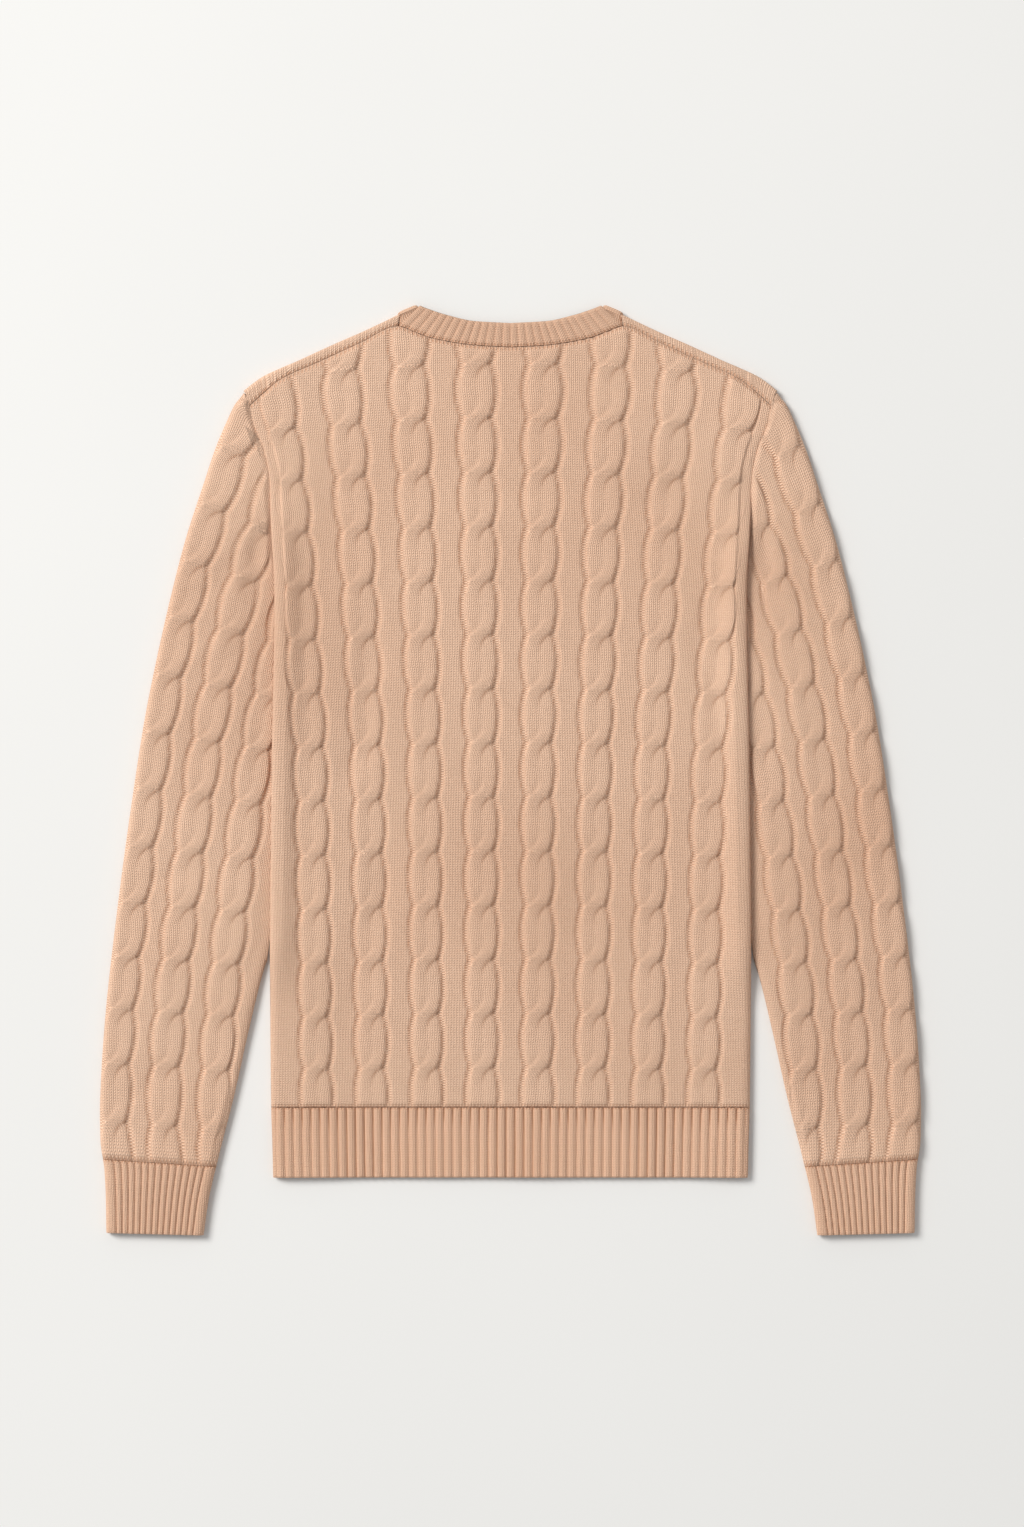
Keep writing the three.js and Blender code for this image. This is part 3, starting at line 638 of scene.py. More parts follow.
@dataclass
class Lattice:
    """Rows of points with what the fabric is like at each of them."""

    x: Array
    y: Array
    z: Array
    wale: Array
    course: Array
    purl: Array
    # Share of painted shade at each point, tinted towards the shade colour: dark lines at ditches and cable
    # hooks, in rib troughs and over the hem. It marks no seam.
    seam: Array
    dots: Array
    plain: Array | None = None
    kept: Array | None = None

    def mirrored(self) -> "Lattice":
        """The same rows on the other side of the middle."""
        turned = {name: value[:, ::-1] for name, value in vars(self).items() if value is not None}
        turned["x"] = -turned["x"]
        return Lattice(**turned)

    def facing_down(self) -> "Lattice":
        """The same points with the outer face below."""
        return Lattice(**{name: value[:, ::-1] for name, value in vars(self).items() if value is not None})


@dataclass
class KnitPiece:
    """One knitted piece of the sweater: a grid shaped by code and given its thickness."""

    name: str
    finish: KnitFinish
    material_slot: str
    flat: tuple[float, float]
    area: float
    rests_on: tuple[str, ...] = ()
    closed: bool = False
    thickness: float = THICKNESS
    lining_every: int = 4

    def lattice(self) -> Lattice:
        """Points of the outer face."""
        raise NotImplementedError

    def build(self) -> bpy.types.Object:
        """Returns:
            The finished object.
        """
        lattice = self.lattice()
        piece = self.fill(lattice)
        if self.closed:
            self.close(piece)
        if lattice.plain is None:
            self.thicken(piece)
        bpy.ops.object.shade_smooth()
        self.dress(piece)
        self.declare(piece)
        triangles = sum(len(face.vertices) - 2 for face in piece.data.polygons)
        LOG.info("%s: %d triangles", self.name, triangles)
        return piece

    def fill(self, lattice: Lattice) -> bpy.types.Object:
        """Turn a primitive grid into the lattice's shape."""
        rows, columns = lattice.x.shape
        bpy.ops.object.select_all(action="DESELECT")
        bpy.ops.mesh.primitive_grid_add(x_subdivisions=columns - 1, y_subdivisions=rows - 1, size=1.0)
        piece = bpy.context.object
        piece.name = self.name + "_knit"
        mesh = piece.data
        mesh.name = piece.name
        places = np.stack((lattice.x, lattice.y, lattice.z), axis=-1) * MM
        mesh.vertices.foreach_set("co", places.astype(np.float32).ravel())
        corners = np.empty(len(mesh.loops), dtype=np.int32)
        mesh.loops.foreach_get("vertex_index", corners)
        squares = corners.reshape(-1, 4)
        knit = np.stack((self.unbroken(lattice.wale, squares), lattice.course.ravel()[squares]), axis=-1)
        while mesh.uv_layers:
            mesh.uv_layers.remove(mesh.uv_layers[0])
        layer = mesh.uv_layers.new(name=KNIT_MAP)
        layer.data.foreach_set("uv", knit.astype(np.float32).ravel())
        # Point attributes: purl share, painted shade (kept under the name seam) and stitch holes.
        for name in ("purl", "seam", "dots"):
            values = getattr(lattice, name).astype(np.float32).ravel()
            mesh.attributes.new(name, "FLOAT", "POINT").data.foreach_set("value", values)
        mesh.update()
        if lattice.kept is not None:
            self.trim(mesh, lattice.kept)
        if lattice.plain is not None:
            self.line(mesh, lattice)
        return piece

    @staticmethod
    def unbroken(wale: Array, squares: Array) -> Array:
        """Wales at the corners of squares, without the whole wales of a jump inside a square."""
        steps = np.median(np.diff(wale, axis=1), axis=0)
        most = 2.0 * np.median(np.abs(steps))
        usual = np.concatenate(([0.0], np.cumsum(np.clip(steps, -most, most))))
        expected = usual[squares % wale.shape[1]]
        wales = wale.ravel()[squares]
        jump = wales - wales[:, :1] - (expected - expected[:, :1])
        return wales - np.where(np.abs(jump) > 1.0, np.round(jump), 0.0)

    def line(self, mesh: bpy.types.Mesh, lattice: Lattice) -> None:
        """Add a plain inner face and join it to the outer one round the edges."""
        rows, columns = lattice.x.shape
        plain = np.stack((lattice.x, lattice.y, lattice.plain), axis=-1)
        row_way = np.gradient(plain, axis=0)
        column_way = np.gradient(plain, axis=1)
        if self.closed:
            ends = plain[:, 1] - plain[:, -2]
            column_way[:, 0] = ends
            column_way[:, -1] = ends
        normal = np.cross(column_way, row_way)
        normal /= np.maximum(np.linalg.norm(normal, axis=-1, keepdims=True), 1e-9)
        places = (plain - normal * LINING_DEPTH) * MM
        row_ids = sorted({*range(0, rows, self.lining_every), rows - 1})
        column_ids = sorted({*range(0, columns, self.lining_every), columns - 1})
        net = bmesh.new()
        net.from_mesh(mesh)
        net.verts.ensure_lookup_table()
        layer = net.loops.layers.uv[KNIT_MAP]
        outer = {(r, c): net.verts[r * columns + c] for r in (0, rows - 1) for c in range(columns)}
        outer |= {(r, c): net.verts[r * columns + c] for r in range(rows) for c in (0, columns - 1)}
        inner = {(r, c): net.verts.new(places[r, c]) for r in row_ids for c in column_ids}
        where = {vertex: place for place, vertex in (*outer.items(), *inner.items())}

        def face(corners: list[bmesh.types.BMVert]) -> None:
            made = net.faces.new(corners)
            for loop in made.loops:
                r, c = where[loop.vert]
                loop[layer].uv = (lattice.wale[r, c], lattice.course[r, c])

        for r0, r1 in zip(row_ids, row_ids[1:]):
            for c0, c1 in zip(column_ids, column_ids[1:]):
                face([inner[r0, c0], inner[r1, c0], inner[r1, c1], inner[r0, c1]])
        rims = [(column_ids, lambda i, r=r: (r, i), flip) for r, flip in ((0, False), (rows - 1, True))]
        if not self.closed:
            sides = ((0, True), (columns - 1, False))
            rims += [(row_ids, lambda i, c=c: (i, c), flip) for c, flip in sides]
        for ids, place, flip in rims:
            for start, end in zip(ids, ids[1:]):
                middle = (start + end) // 2
                fans = [(inner[place(start)], i) for i in range(start, middle)]
                fans += [(inner[place(end)], i) for i in range(middle, end)]
                for hub, i in fans:
                    corners = [outer[place(i + 1)], outer[place(i)], hub]
                    face(corners[::-1] if flip else corners)
                corners = [inner[place(start)], inner[place(end)], outer[place(middle)]]
                face(corners[::-1] if flip else corners)
        net.to_mesh(mesh)
        net.free()

    @staticmethod
    def trim(mesh: bpy.types.Mesh, kept: Array) -> None:
        """Take away the squares that don't belong to the piece."""
        net = bmesh.new()
        net.from_mesh(mesh)
        net.faces.ensure_lookup_table()
        spare = [net.faces[int(i)] for i in np.flatnonzero(~kept.ravel())]
        bmesh.ops.delete(net, geom=spare, context="FACES")
        net.to_mesh(mesh)
        net.free()

    @staticmethod
    def close(piece: bpy.types.Object) -> None:
        """Join the first and last columns, which lie in the same place."""
        bpy.ops.object.mode_set(mode="EDIT")
        bpy.ops.mesh.select_all(action="SELECT")
        bpy.ops.mesh.remove_doubles(threshold=1e-7)
        bpy.ops.object.mode_set(mode="OBJECT")

    def thicken(self, piece: bpy.types.Object) -> None:
        """Give the cloth its thickness, inwards from the outer face."""
        shell = piece.modifiers.new("cloth", "SOLIDIFY")
        shell.thickness = self.thickness * MM
        shell.offset = -1.0
        bpy.ops.object.modifier_apply(modifier=shell.name)

    def dress(self, piece: bpy.types.Object) -> None:
        """Give the piece its finish."""
        piece.data.materials.clear()
        piece.data.materials.append(self.finish.material())

    def declare(self, piece: bpy.types.Object) -> None:
        """Hide the CAD part of the same name and hang the piece on the body."""
        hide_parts(self.name)
        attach(piece, BODY_NAME)


def spaced(low: float, high: float, step: float) -> Array:
    """Even places from low to high, about a step apart."""
    return np.linspace(low, high, max(2, int(round((high - low) / step)) + 1))


def crowd(natural: Array, limit: Array, zone: float, last: Array) -> Array:
    """Squeeze places beyond a limit into a narrow zone just inside it.

    Args:
        natural: Distances from the middle, before the squeeze.
        limit: Greatest distance allowed.
        zone: Width of the zone that takes what lies beyond.
        last: Natural distance that comes to lie on the limit.

    Returns:
        Distances that end on the limit.
    """
    start = limit - zone
    share = np.clip((natural - start) / np.maximum(last - start, zone), 0.0, 1.0)
    return np.where(natural > start, start + zone * share, natural)


@dataclass
class BodyPanel(KnitPiece):
    """Back or front of the body."""

    reach_units: float = 4.42
    column_step: float = 1.0 / 32.0
    row_step: float = 1.95
    edge_zone: float = 12.0
    even_until: float = 215.0
    strip: float = 9.5

    def units(self) -> Array:
        """Columns in cable pitches from the middle; one lies on each corner of the neck."""
        corner = NECK_CORNER_X / float(CABLE_PITCH(SHOULDER_Y + EDGE_ROLL * 3.0))
        inside = spaced(0.0, corner, self.column_step)
        outside = spaced(corner, self.reach_units, self.column_step)[1:]
        right = np.concatenate((inside, outside))
        return np.concatenate((-right[:0:-1], right))

    def across(self, units: Array, y: Array) -> Array:
        """Place across the body of each column at a height."""
        natural = np.abs(units) * CABLE_PITCH(y)
        last = self.reach_units * CABLE_PITCH(y)
        return np.sign(units) * crowd(natural, BODY_SIDE(y), self.edge_zone, last)

    def knit(self, x: Array, y: Array) -> tuple[Fabric, Array]:
        """The body's fabric at some places, and its courses."""
        pitch = CABLE_PITCH(y)
        unit = x / pitch
        index = np.clip(np.floor(unit), -BODY_CABLES / 2, BODY_CABLES / 2 - 1)
        local = (unit - index - 0.5) * pitch
        raw = (y - FIRST_CROSSING) / CROSSING_EVERY
        bend = (unit / (BODY_CABLES / 2 - 0.5)) ** 2
        phase = raw + COURSE_DROOP(raw) * bend / CROSSING_EVERY
        fabric = CABLE.read(local * REFERENCE_PITCH / pitch, phase)
        relief = fabric.relief
        outside = np.abs(unit) > BODY_CABLES / 2
        partial = np.abs(local) - pitch * 0.74
        edge = 1.6 * np.clip(1.0 - (partial / 6.0 - 1.0) ** 2, 0.0, 1.0) ** 0.6 * (partial > 0)
        fabric.relief = np.where(outside & (partial > 0), edge, relief)
        fabric.wale = fabric.wale + index * REFERENCE_PITCH / STITCH.width
        return fabric, phase * CROSSING_EVERY / STITCH.height

    def strip_mask(self, from_edge: Array, y: Array) -> Array:
        """Share of the cables that is left near the side: none on the armhole's plain strip."""
        armhole = smooth(-150.0, -110.0, y)
        narrow = smooth(1.0, 5.0, from_edge)
        wide = smooth(self.strip - 1.5, self.strip + 1.0, from_edge)
        return mix(narrow, wide, armhole)


@dataclass
class BackPanel(BodyPanel):
    """The back, which faces up and shows."""

    def lattice(self) -> Lattice:
        """Rows from the hem seam to the neck and shoulder seams."""
        units = self.units()
        bottom = HEM_TOP_Y + SEAM_GAP / 2.0
        peak = float(BACK_TOP(NECK_CORNER_X)) - SEAM_GAP
        levels = spaced(bottom, peak, self.row_step)
        top = BACK_TOP(np.abs(self.across(units, np.full_like(units, peak)))) - SEAM_GAP
        share = np.clip((levels - self.even_until) / (peak - self.even_until), 0.0, 1.0)
        y = levels[:, None] + share[:, None] * (top - peak)[None, :]
        x = self.across(np.broadcast_to(units, y.shape), y)
        from_edge = BODY_SIDE(y) - np.abs(x)
        fabric, course = self.knit(x, y)
        from_top = BACK_TOP(np.abs(x)) - SEAM_GAP - y
        from_hem = y - bottom
        mask = self.strip_mask(from_edge, y) * smooth(0.5, 4.0, from_top) * smooth(0.5, 4.0, from_hem)
        dip = 0.5 * (1.0 - roll(from_top, 2.5)) + 0.35 * (1.0 - roll(from_hem, 2.5))
        round_edge = edge_round(from_edge, y)
        base = mix(SEAM_HEIGHT + SEAM_GAP / 2.0, body_top(from_edge), round_edge)
        folds = creased(BODY_CREASES, x, y) * smooth(0.0, 30.0, from_edge)
        plain = base + body_lift(from_edge, y) + folds - dip
        z = plain + fabric.relief * mask
        dots = stitch_row(from_top, 1.9) + stitch_row(from_hem, 1.2)
        shade = fabric.shade * mask
        return Lattice(x, y, z, fabric.wale, course, fabric.purl * mask, shade, dots, plain)


def stitch_row(distance: Array, place: float) -> Array:
    """Share of a row of stitch holes along a seam, at a distance from it."""
    return hump((distance - place) / 1.9)


@dataclass
class FrontPanel(BodyPanel):
    """The front, which lies on its outer face and wraps over both shoulders."""

    column_step: float = 1.0 / 20.0
    row_step: float = 3.1
    press: float = 0.4
    wrap_angles: tuple[float, ...] = (-66.0, -44.0, -22.0, 0.0, 22.0, 44.0, 66.0, 90.0)
    wrap_shares: tuple[float, ...] = (0.2, 0.4, 0.6, 0.8, 1.0)
    fold_reach: float = 3.0
    shoulder_flare: float = 4.0
    neck_flare: float = -1.6
    tallest: float = 2.8

    def lattice(self) -> Lattice:
        """Rows from the hem seam to the neck, and over the shoulders to the shoulder seam."""
        units = self.units()
        bottom = HEM_TOP_Y + SEAM_GAP / 2.0
        peak = float(SHOULDER_FOLD(NECK_CORNER_X)) - self.fold_reach
        levels = spaced(bottom, peak, self.row_step)
        end_x = np.abs(self.across(units, np.full_like(units, peak)))
        shoulder = end_x >= NECK_CORNER_X - 0.01
        fold_y = SHOULDER_FOLD(end_x)
        top = np.where(shoulder, fold_y - self.fold_reach, FRONT_NECK(end_x) - SEAM_GAP)
        share = np.clip((levels - self.even_until) / (peak - self.even_until), 0.0, 1.0)
        y = levels[:, None] + share[:, None] * (top - peak)[None, :]
        x = self.across(np.broadcast_to(units, y.shape), y)
        from_edge = BODY_SIDE(y) - np.abs(x)
        fabric, course = self.knit(x, y)
        ends = smooth(0.5, 6.0, top[None, :] - y) * smooth(0.5, 4.0, y - bottom)
        mask = self.strip_mask(from_edge, y) * ends
        folds = np.abs(creased(BODY_CREASES, -x, y)) * 0.3
        pressed = self.press * (self.tallest - fabric.relief) * mask + folds * mask
        outer = mix(SEAM_HEIGHT - SEAM_GAP / 2.0, 0.0, edge_round(from_edge, y))
        z = outer + pressed + body_lift(from_edge, y)
        nothing = np.zeros_like(x)
        flat = Lattice(x, y, z, fabric.wale, course, fabric.purl * mask, fabric.shade * mask, nothing)
        return self.with_wraps(flat, end_x, fold_y, shoulder).facing_down()

    def with_wraps(self, flat: Lattice, end_x: Array, fold_y: Array, shoulder: Array) -> Lattice:
        """Add the rows that go round the fold over each shoulder."""
        half = body_top(SHOULDER_HALF - end_x) / 2.0
        seam_y = BACK_TOP(end_x)
        sign = np.sign(flat.x[-1])
        flare = self.shoulder_flare * (1.0 - smooth(0.0, LIFT_FAR, SHOULDER_HALF - end_x))
        flare += self.neck_flare * (1.0 - smooth(NECK_CORNER_X, NECK_CORNER_X + LIFT_FAR, end_x))
        rows = []
        for angle in self.wrap_angles:
            turn = math.radians(angle)
            y = fold_y - self.fold_reach + self.fold_reach * math.cos(turn)
            z = half + half * math.sin(turn)
            rows.append((y, z, 0.5 + 0.5 * math.cos(turn)))
        for share in self.wrap_shares:
            y = mix(fold_y - self.fold_reach, seam_y, share)
            dip = 0.5 * (1.0 - roll((1.0 - share) * (fold_y - self.fold_reach - seam_y), 2.5))
            rows.append((y, 2.0 * half - dip, 0.5 * (1.0 - share)))
        ys = np.array([row[0] for row in rows])
        zs = np.array([row[1] for row in rows])
        flares = np.array([row[2] for row in rows])[:, None] * flare
        xs = (end_x + flares) * sign
        turns = np.cumsum(np.hypot(np.diff(ys, axis=0, prepend=flat.y[-1:]), np.diff(zs, axis=0, prepend=flat.z[-1:])), axis=0)
        course = flat.course[-1] + turns / STITCH.height
        wale = np.broadcast_to(flat.wale[-1], xs.shape)
        near_seam = seam_y - ys
        dots = stitch_row(-near_seam, 1.4) * (zs > half)
        nothing = np.zeros_like(xs)
        flat_rows = flat.x.shape[0]
        kept = np.ones((flat_rows + len(rows) - 1, len(end_x) - 1), dtype=bool)
        is_shoulder = shoulder[1:] & shoulder[:-1]
        kept[flat_rows - 1 :, :] = is_shoulder[None, :]
        return Lattice(
            np.vstack((flat.x, xs)),
            np.vstack((flat.y, ys)),
            np.vstack((flat.z, zs)),
            np.vstack((flat.wale, wale)),
            np.vstack((flat.course, course)),
            np.vstack((flat.purl, nothing)),
            # Painted shade: none on the rows round the fold.
            np.vstack((flat.seam, nothing)),
            np.vstack((flat.dots, dots)),
            kept=kept,
        )


@dataclass(frozen=True)
class Rib:
    """Ridges of a ribbed band with narrow troughs between them."""

    rise: float = 1.1
    trough: float = 1.1
    power: float = 0.5
    # Share of painted shade in the troughs.
    shade: float = 0.35

    def read(self, phase: Array) -> tuple[Array, Array]:
        """Relief and purl share at some places.

        Args:
            phase: Ribs counted across the band, whole on each ridge.

        Returns:
            The relief and the share of purl stitches.
        """
        wave = np.abs(np.cos(math.pi * phase)) ** self.power
        return mix(-self.trough, self.rise, wave), 1.0 - smooth(0.2, 0.5, wave)


HEM_RIB = Rib(trough=1.6, shade=1.0)
CUFF_RIB = Rib(trough=0.9, shade=0.4)
NECK_RIB = Rib(rise=0.9, trough=0.6, shade=0.05)


@dataclass
class HemRib(KnitPiece):
    """Ribbed band at the bottom of the back or the front."""

    # Even painted shade over the whole hem band that faces up.
    even_painted_shade: float = 0.07
    faces_down: bool = False
    ribs: int = 52
    per_rib: int = 8
    rim: float = 1.8
    row_step: float = 3.2
    edge_rows: tuple[float, ...] = (0.0, 0.25, 0.6, 1.1, 1.8)

    def lattice(self) -> Lattice:
        """Rows from the bottom edge to the seam."""
        top = HEM_TOP_Y - SEAM_GAP / 2.0
        inner = spaced(HEM_Y + 3.0, top - 3.0, self.row_step)
        steps = np.array(self.edge_rows)
        levels = np.concatenate((HEM_Y + steps, inner, top - steps[::-1]))
        count = (self.ribs + 2) * self.per_rib
        share = np.linspace(-1.0, 1.0, count + 1)
        bulge = share + 0.0
        y = np.broadcast_to(levels[:, None], (len(levels), count + 1))
        half = BODY_SIDE(y)
        x = bulge[None, :] * half
        x = x + 0.5 * np.sin(x / 37.0) * smooth(0.0, 25.0, top - y)
        x = np.clip(x, -half, half)
        from_edge = half - np.abs(x)
        phase = (half - EDGE_ROLL - np.abs(x)) / (2.0 * (half - EDGE_ROLL)) * self.ribs
        relief, purl = HEM_RIB.read(phase)
        ends = roll(y - HEM_Y, self.rim)
        seam_dip = 0.4 * (1.0 - roll(top - y, 2.2))
        sway = 0.35 * np.sin(x / 31.0 + 0.8) + 0.25 * np.sin(x / 12.7)
        mask = smooth(0.0, EDGE_ROLL, from_edge) * mix(0.45, 1.0, ends)
        wale = x / STITCH.width
        course = y / STITCH.height
        round_edge = edge_round(from_edge, y)
        if self.faces_down:
            recess = 0.5 * (HEM_RIB.rise - relief) * mask + (1.0 - ends) * 0.6
            z = mix(SEAM_HEIGHT - SEAM_GAP / 2.0, 0.0, round_edge) + recess * round_edge
            nothing = np.zeros_like(z)
            return Lattice(x, y, z, wale, course, purl * mask, nothing, nothing).facing_down()
        base = mix(SEAM_HEIGHT + SEAM_GAP / 2.0, body_top(from_edge) + sway, round_edge)
        z = base + relief * mask - 1.5 * (1.0 - ends) - seam_dip
        dots = stitch_row(top - y, 0.3)
        # Painted shade: in the rib troughs, plus an even share over the whole band.
        return Lattice(x, y, z, wale, course, purl * mask, HEM_RIB.shade * purl * mask + self.even_painted_shade, dots)


@dataclass
class FlatTube(KnitPiece):
    """Tube that lies flat: a line of points for each course, over the top and back under."""

    side: Side = Side.RIGHT
    height: float = 8.0
    rolled: float = 6.0
    widest: float = 180.0
    halvings: int = 34
    column_step: float = 1.4

    @staticmethod
    def inner_x(y: Array) -> Array:
        """Inner edge of a sleeve: free, then under the body, then beside it."""
        seamed = mix(0.6, -ARMHOLE_TUCK, smooth(*ARMHOLE_START, y))
        beside = BODY_SIDE(y) + mix(seamed, -TUCK, smooth(0.0, 1.0, TUCK_ALONG(y)))
        return np.where(y < -122.0, SLEEVE_INNER(y), beside)

    def widths(self, outer_y: Array, slope: Array) -> tuple[Array, Array]:
        """Outer edge and width of the line of each course."""
        outer_x = SLEEVE_OUTER(outer_y)
        near = np.zeros_like(outer_x)
        far = np.full_like(outer_x, self.widest)
        for _ in range(self.halvings):
            middle = (near + far) / 2.0
            inside = outer_x - middle > self.inner_x(outer_y - slope * middle)
            near = np.where(inside, middle, near)
            far = np.where(inside, far, middle)
        return outer_x, near

    def ring(self, natural: Array, outer_y: Array, slope: Array) -> tuple[Array, ...]:
        """Places of all points: from the inner edge over the top and back underneath.

        Args:
            natural: Distances from the outer edge of the tube's columns.
            outer_y: Height of each course at the outer edge.
            slope: Drop of each course towards the inner edge.

        Returns:
            Places x and y, distance from the outer and inner edges, and the side: 1 is above.
        """
        outer_x, width = self.widths(outer_y, slope)
        limit = width[:, None]
        zone = np.minimum(12.0, limit / 2.0)
        from_outer = crowd(np.broadcast_to(natural, (len(outer_y), len(natural))), limit, zone, natural[-1])
        from_outer = from_outer * np.minimum(1.0, limit / from_outer[:, -1:])
        upper = from_outer[:, ::-1]
        lower = np.hstack((from_outer[:, 1:-1:2], from_outer[:, -1:]))
        from_outer = np.hstack((upper, lower))
        side = np.hstack((np.ones_like(upper), -np.ones_like(lower)))
        x = outer_x[:, None] - from_outer
        y = outer_y[:, None] - slope[:, None] * from_outer
        return x, y, from_outer, limit - from_outer, side

    def raise_tube(self, from_outer: Array, from_inner: Array, y: Array, side: Array) -> tuple[Array, Array]:
        """Height of the plain tube and how far its edge has come round."""
        pressed = lift_along(y) * (1.0 - smooth(TUCK, LIFT_FAR, from_inner))
        half = mix(self.height, TUCKED_HEIGHT, pressed) / 2.0
        rolled = np.minimum(self.rolled, (from_outer + from_inner) / 4.0)
        round_edge = roll(np.minimum(from_inner, from_outer), rolled)
        return half + side * half * round_edge, round_edge

    def sided(self, lattice: Lattice) -> Lattice:
        """The lattice on the tube's own side."""
        return lattice if self.side is Side.RIGHT else lattice.mirrored()


def edged(low: float, high: float, step: float, rolled: float) -> Array:
    """Even places with closer ones near both ends, for the round edges of a tube."""
    start = low + rolled * (1.0 - np.cos(np.linspace(0.0, math.pi / 2.0, 7)))
    return np.concatenate((start, spaced(low + rolled, high, step)[1:]))


@dataclass
class Sleeve(FlatTube):
    """Sleeve with three cables."""

    cables: tuple[float, ...] = (12.0, 51.5, 91.0)
    row_step: float = 1.9
    last_column: float = 122.0

    def lattice(self) -> Lattice:
        """Courses from the cuff seam up to the shoulder."""
        first, last = SLEEVE_COURSE.points[0], SLEEVE_COURSE.points[-1]
        count = int((first[1] - last[1]) / self.row_step)
        courses = np.linspace(last[0], first[0], count)
        outer_y = SLEEVE_COURSE(courses)
        slope = SLEEVE_SLOPE(courses)
        natural = edged(0.0, self.last_column, self.column_step, self.rolled)
        x, y, from_outer, from_inner, side = self.ring(natural, outer_y, slope)
        plain, round_edge = self.raise_tube(from_outer, from_inner, y, side)
        phase = -np.broadcast_to(courses[:, None], x.shape)
        fabric = self.knit(from_outer, phase)
        from_cuff = (courses[0] - courses)[:, None] * CROSSING_EVERY
        from_top = (courses - courses[-1])[:, None] * CROSSING_EVERY
        ends = smooth(0.5, 4.0, from_cuff) * smooth(0.5, 5.0, from_top)
        mask = smooth(0.0, 0.75, round_edge) * ends * smooth(2.0, 7.0, from_inner)
        dip = 0.4 * (1.0 - roll(from_cuff, 2.5))
        folds = creased(SLEEVE_CREASES, x, y) * smooth(0.0, 20.0, np.minimum(from_outer, from_inner))
        above = fabric.relief * mask + folds - dip
        below = 0.4 * (2.8 - fabric.relief) * mask
        z = plain + np.where(side > 0, above, below)
        course = phase * CROSSING_EVERY / STITCH.height
        dots = stitch_row(from_cuff, 1.2) * np.ones_like(x)
        # Painted shade of the cables, weaker on the underside.
        shade = fabric.shade * mask * np.where(side > 0, 1.0, 0.3)
        return self.sided(Lattice(x, y, z, fabric.wale, course, fabric.purl * mask, shade, dots, plain))

    def knit(self, from_outer: Array, phase: Array) -> Fabric:
        """The sleeve's fabric at some places."""
        centres = np.array(self.cables)
        index = np.abs(from_outer[..., None] - centres).argmin(axis=-1)
        local = (centres[index] - from_outer) * self.side.value
        fabric = CABLE.read(local, phase)
        fabric.wale = fabric.wale - centres[index] * self.side.value / STITCH.width
        return fabric


@dataclass
class Cuff(FlatTube):
    """Ribbed band at the end of a sleeve."""

    ribs: int = 14
    per_rib: int = 8
    end_y: float = -365.1
    end_slope: float = 0.025
    rim: float = 1.8
    row_step: float = 3.0
    edge_rows: tuple[float, ...] = (0.0, 0.25, 0.6, 1.1, 1.8)

    def lattice(self) -> Lattice:
        """Rows from the open end to the sleeve's seam."""
        top_y = SLEEVE_COURSE.points[-1][1] - SEAM_GAP
        top_slope = SLEEVE_SLOPE.points[-1][1]
        inner = spaced(self.end_y + 3.0, top_y - 3.0, self.row_step)
        steps = np.array(self.edge_rows)
        outer_y = np.concatenate((self.end_y + steps, inner, top_y - steps[::-1]))
        share = (outer_y - self.end_y) / (top_y - self.end_y)
        slope = mix(self.end_slope, top_slope, share)
        outer_x, width = self.widths(outer_y, slope)
        inside = self.ribs * self.per_rib
        lined = np.concatenate((np.linspace(0.0, 1.0, 7)[:-1] ** 2, np.ones(inside + 1), 2.0 - np.linspace(1.0, 0.0, 7)[1:] ** 2))
        middle = np.concatenate((np.zeros(6), np.linspace(0.0, 1.0, inside + 1), np.ones(6)))
        edge = self.rolled
        from_outer = np.where(
            lined < 1.0,
            lined * edge,
            np.where(lined > 1.0, (lined - 1.0) * edge, 0.0),
        )[None, :] + np.where(lined[None, :] >= 1.0, edge * (lined[None, :] == 1.0), 0.0)
        span = (width - 2.0 * edge)[:, None]
        from_outer = np.where(lined[None, :] > 1.0, edge + span + from_outer, from_outer + middle[None, :] * span)
        ribs = np.broadcast_to(middle * self.ribs, from_outer.shape)
        upper, lower = from_outer[:, ::-1], from_outer[:, 1:]
        from_outer = np.hstack((upper, lower))
        phase = np.hstack((ribs[:, ::-1], ribs[:, 1:]))
        side = np.hstack((np.ones_like(upper), -np.ones_like(lower)))
        x = outer_x[:, None] - from_outer
        y = outer_y[:, None] - slope[:, None] * from_outer
        from_inner = width[:, None] - from_outer
        plain, round_edge = self.raise_tube(from_outer, from_inner, y, side)
        relief, purl = CUFF_RIB.read(phase)
        ends = roll(outer_y - self.end_y, self.rim)[:, None]
        mask = smooth(0.2, 0.9, round_edge) * mix(0.4, 1.0, ends)
        dip = 0.45 * (1.0 - roll(top_y - outer_y, 2.2))[:, None] + 1.3 * (1.0 - ends)
        above = relief * mask - dip
        below = 0.5 * (CUFF_RIB.rise - relief) * mask + 1.0 * (1.0 - ends)
        z = plain + np.where(side > 0, above, below)
        wale = from_outer / STITCH.width
        course = np.broadcast_to(outer_y[:, None], x.shape) / STITCH.height
        dots = stitch_row(top_y - outer_y, 0.3)[:, None] * np.ones_like(x)
        return self.sided(Lattice(x, y, z, wale, course, purl * mask, CUFF_RIB.shade * purl * mask, dots))


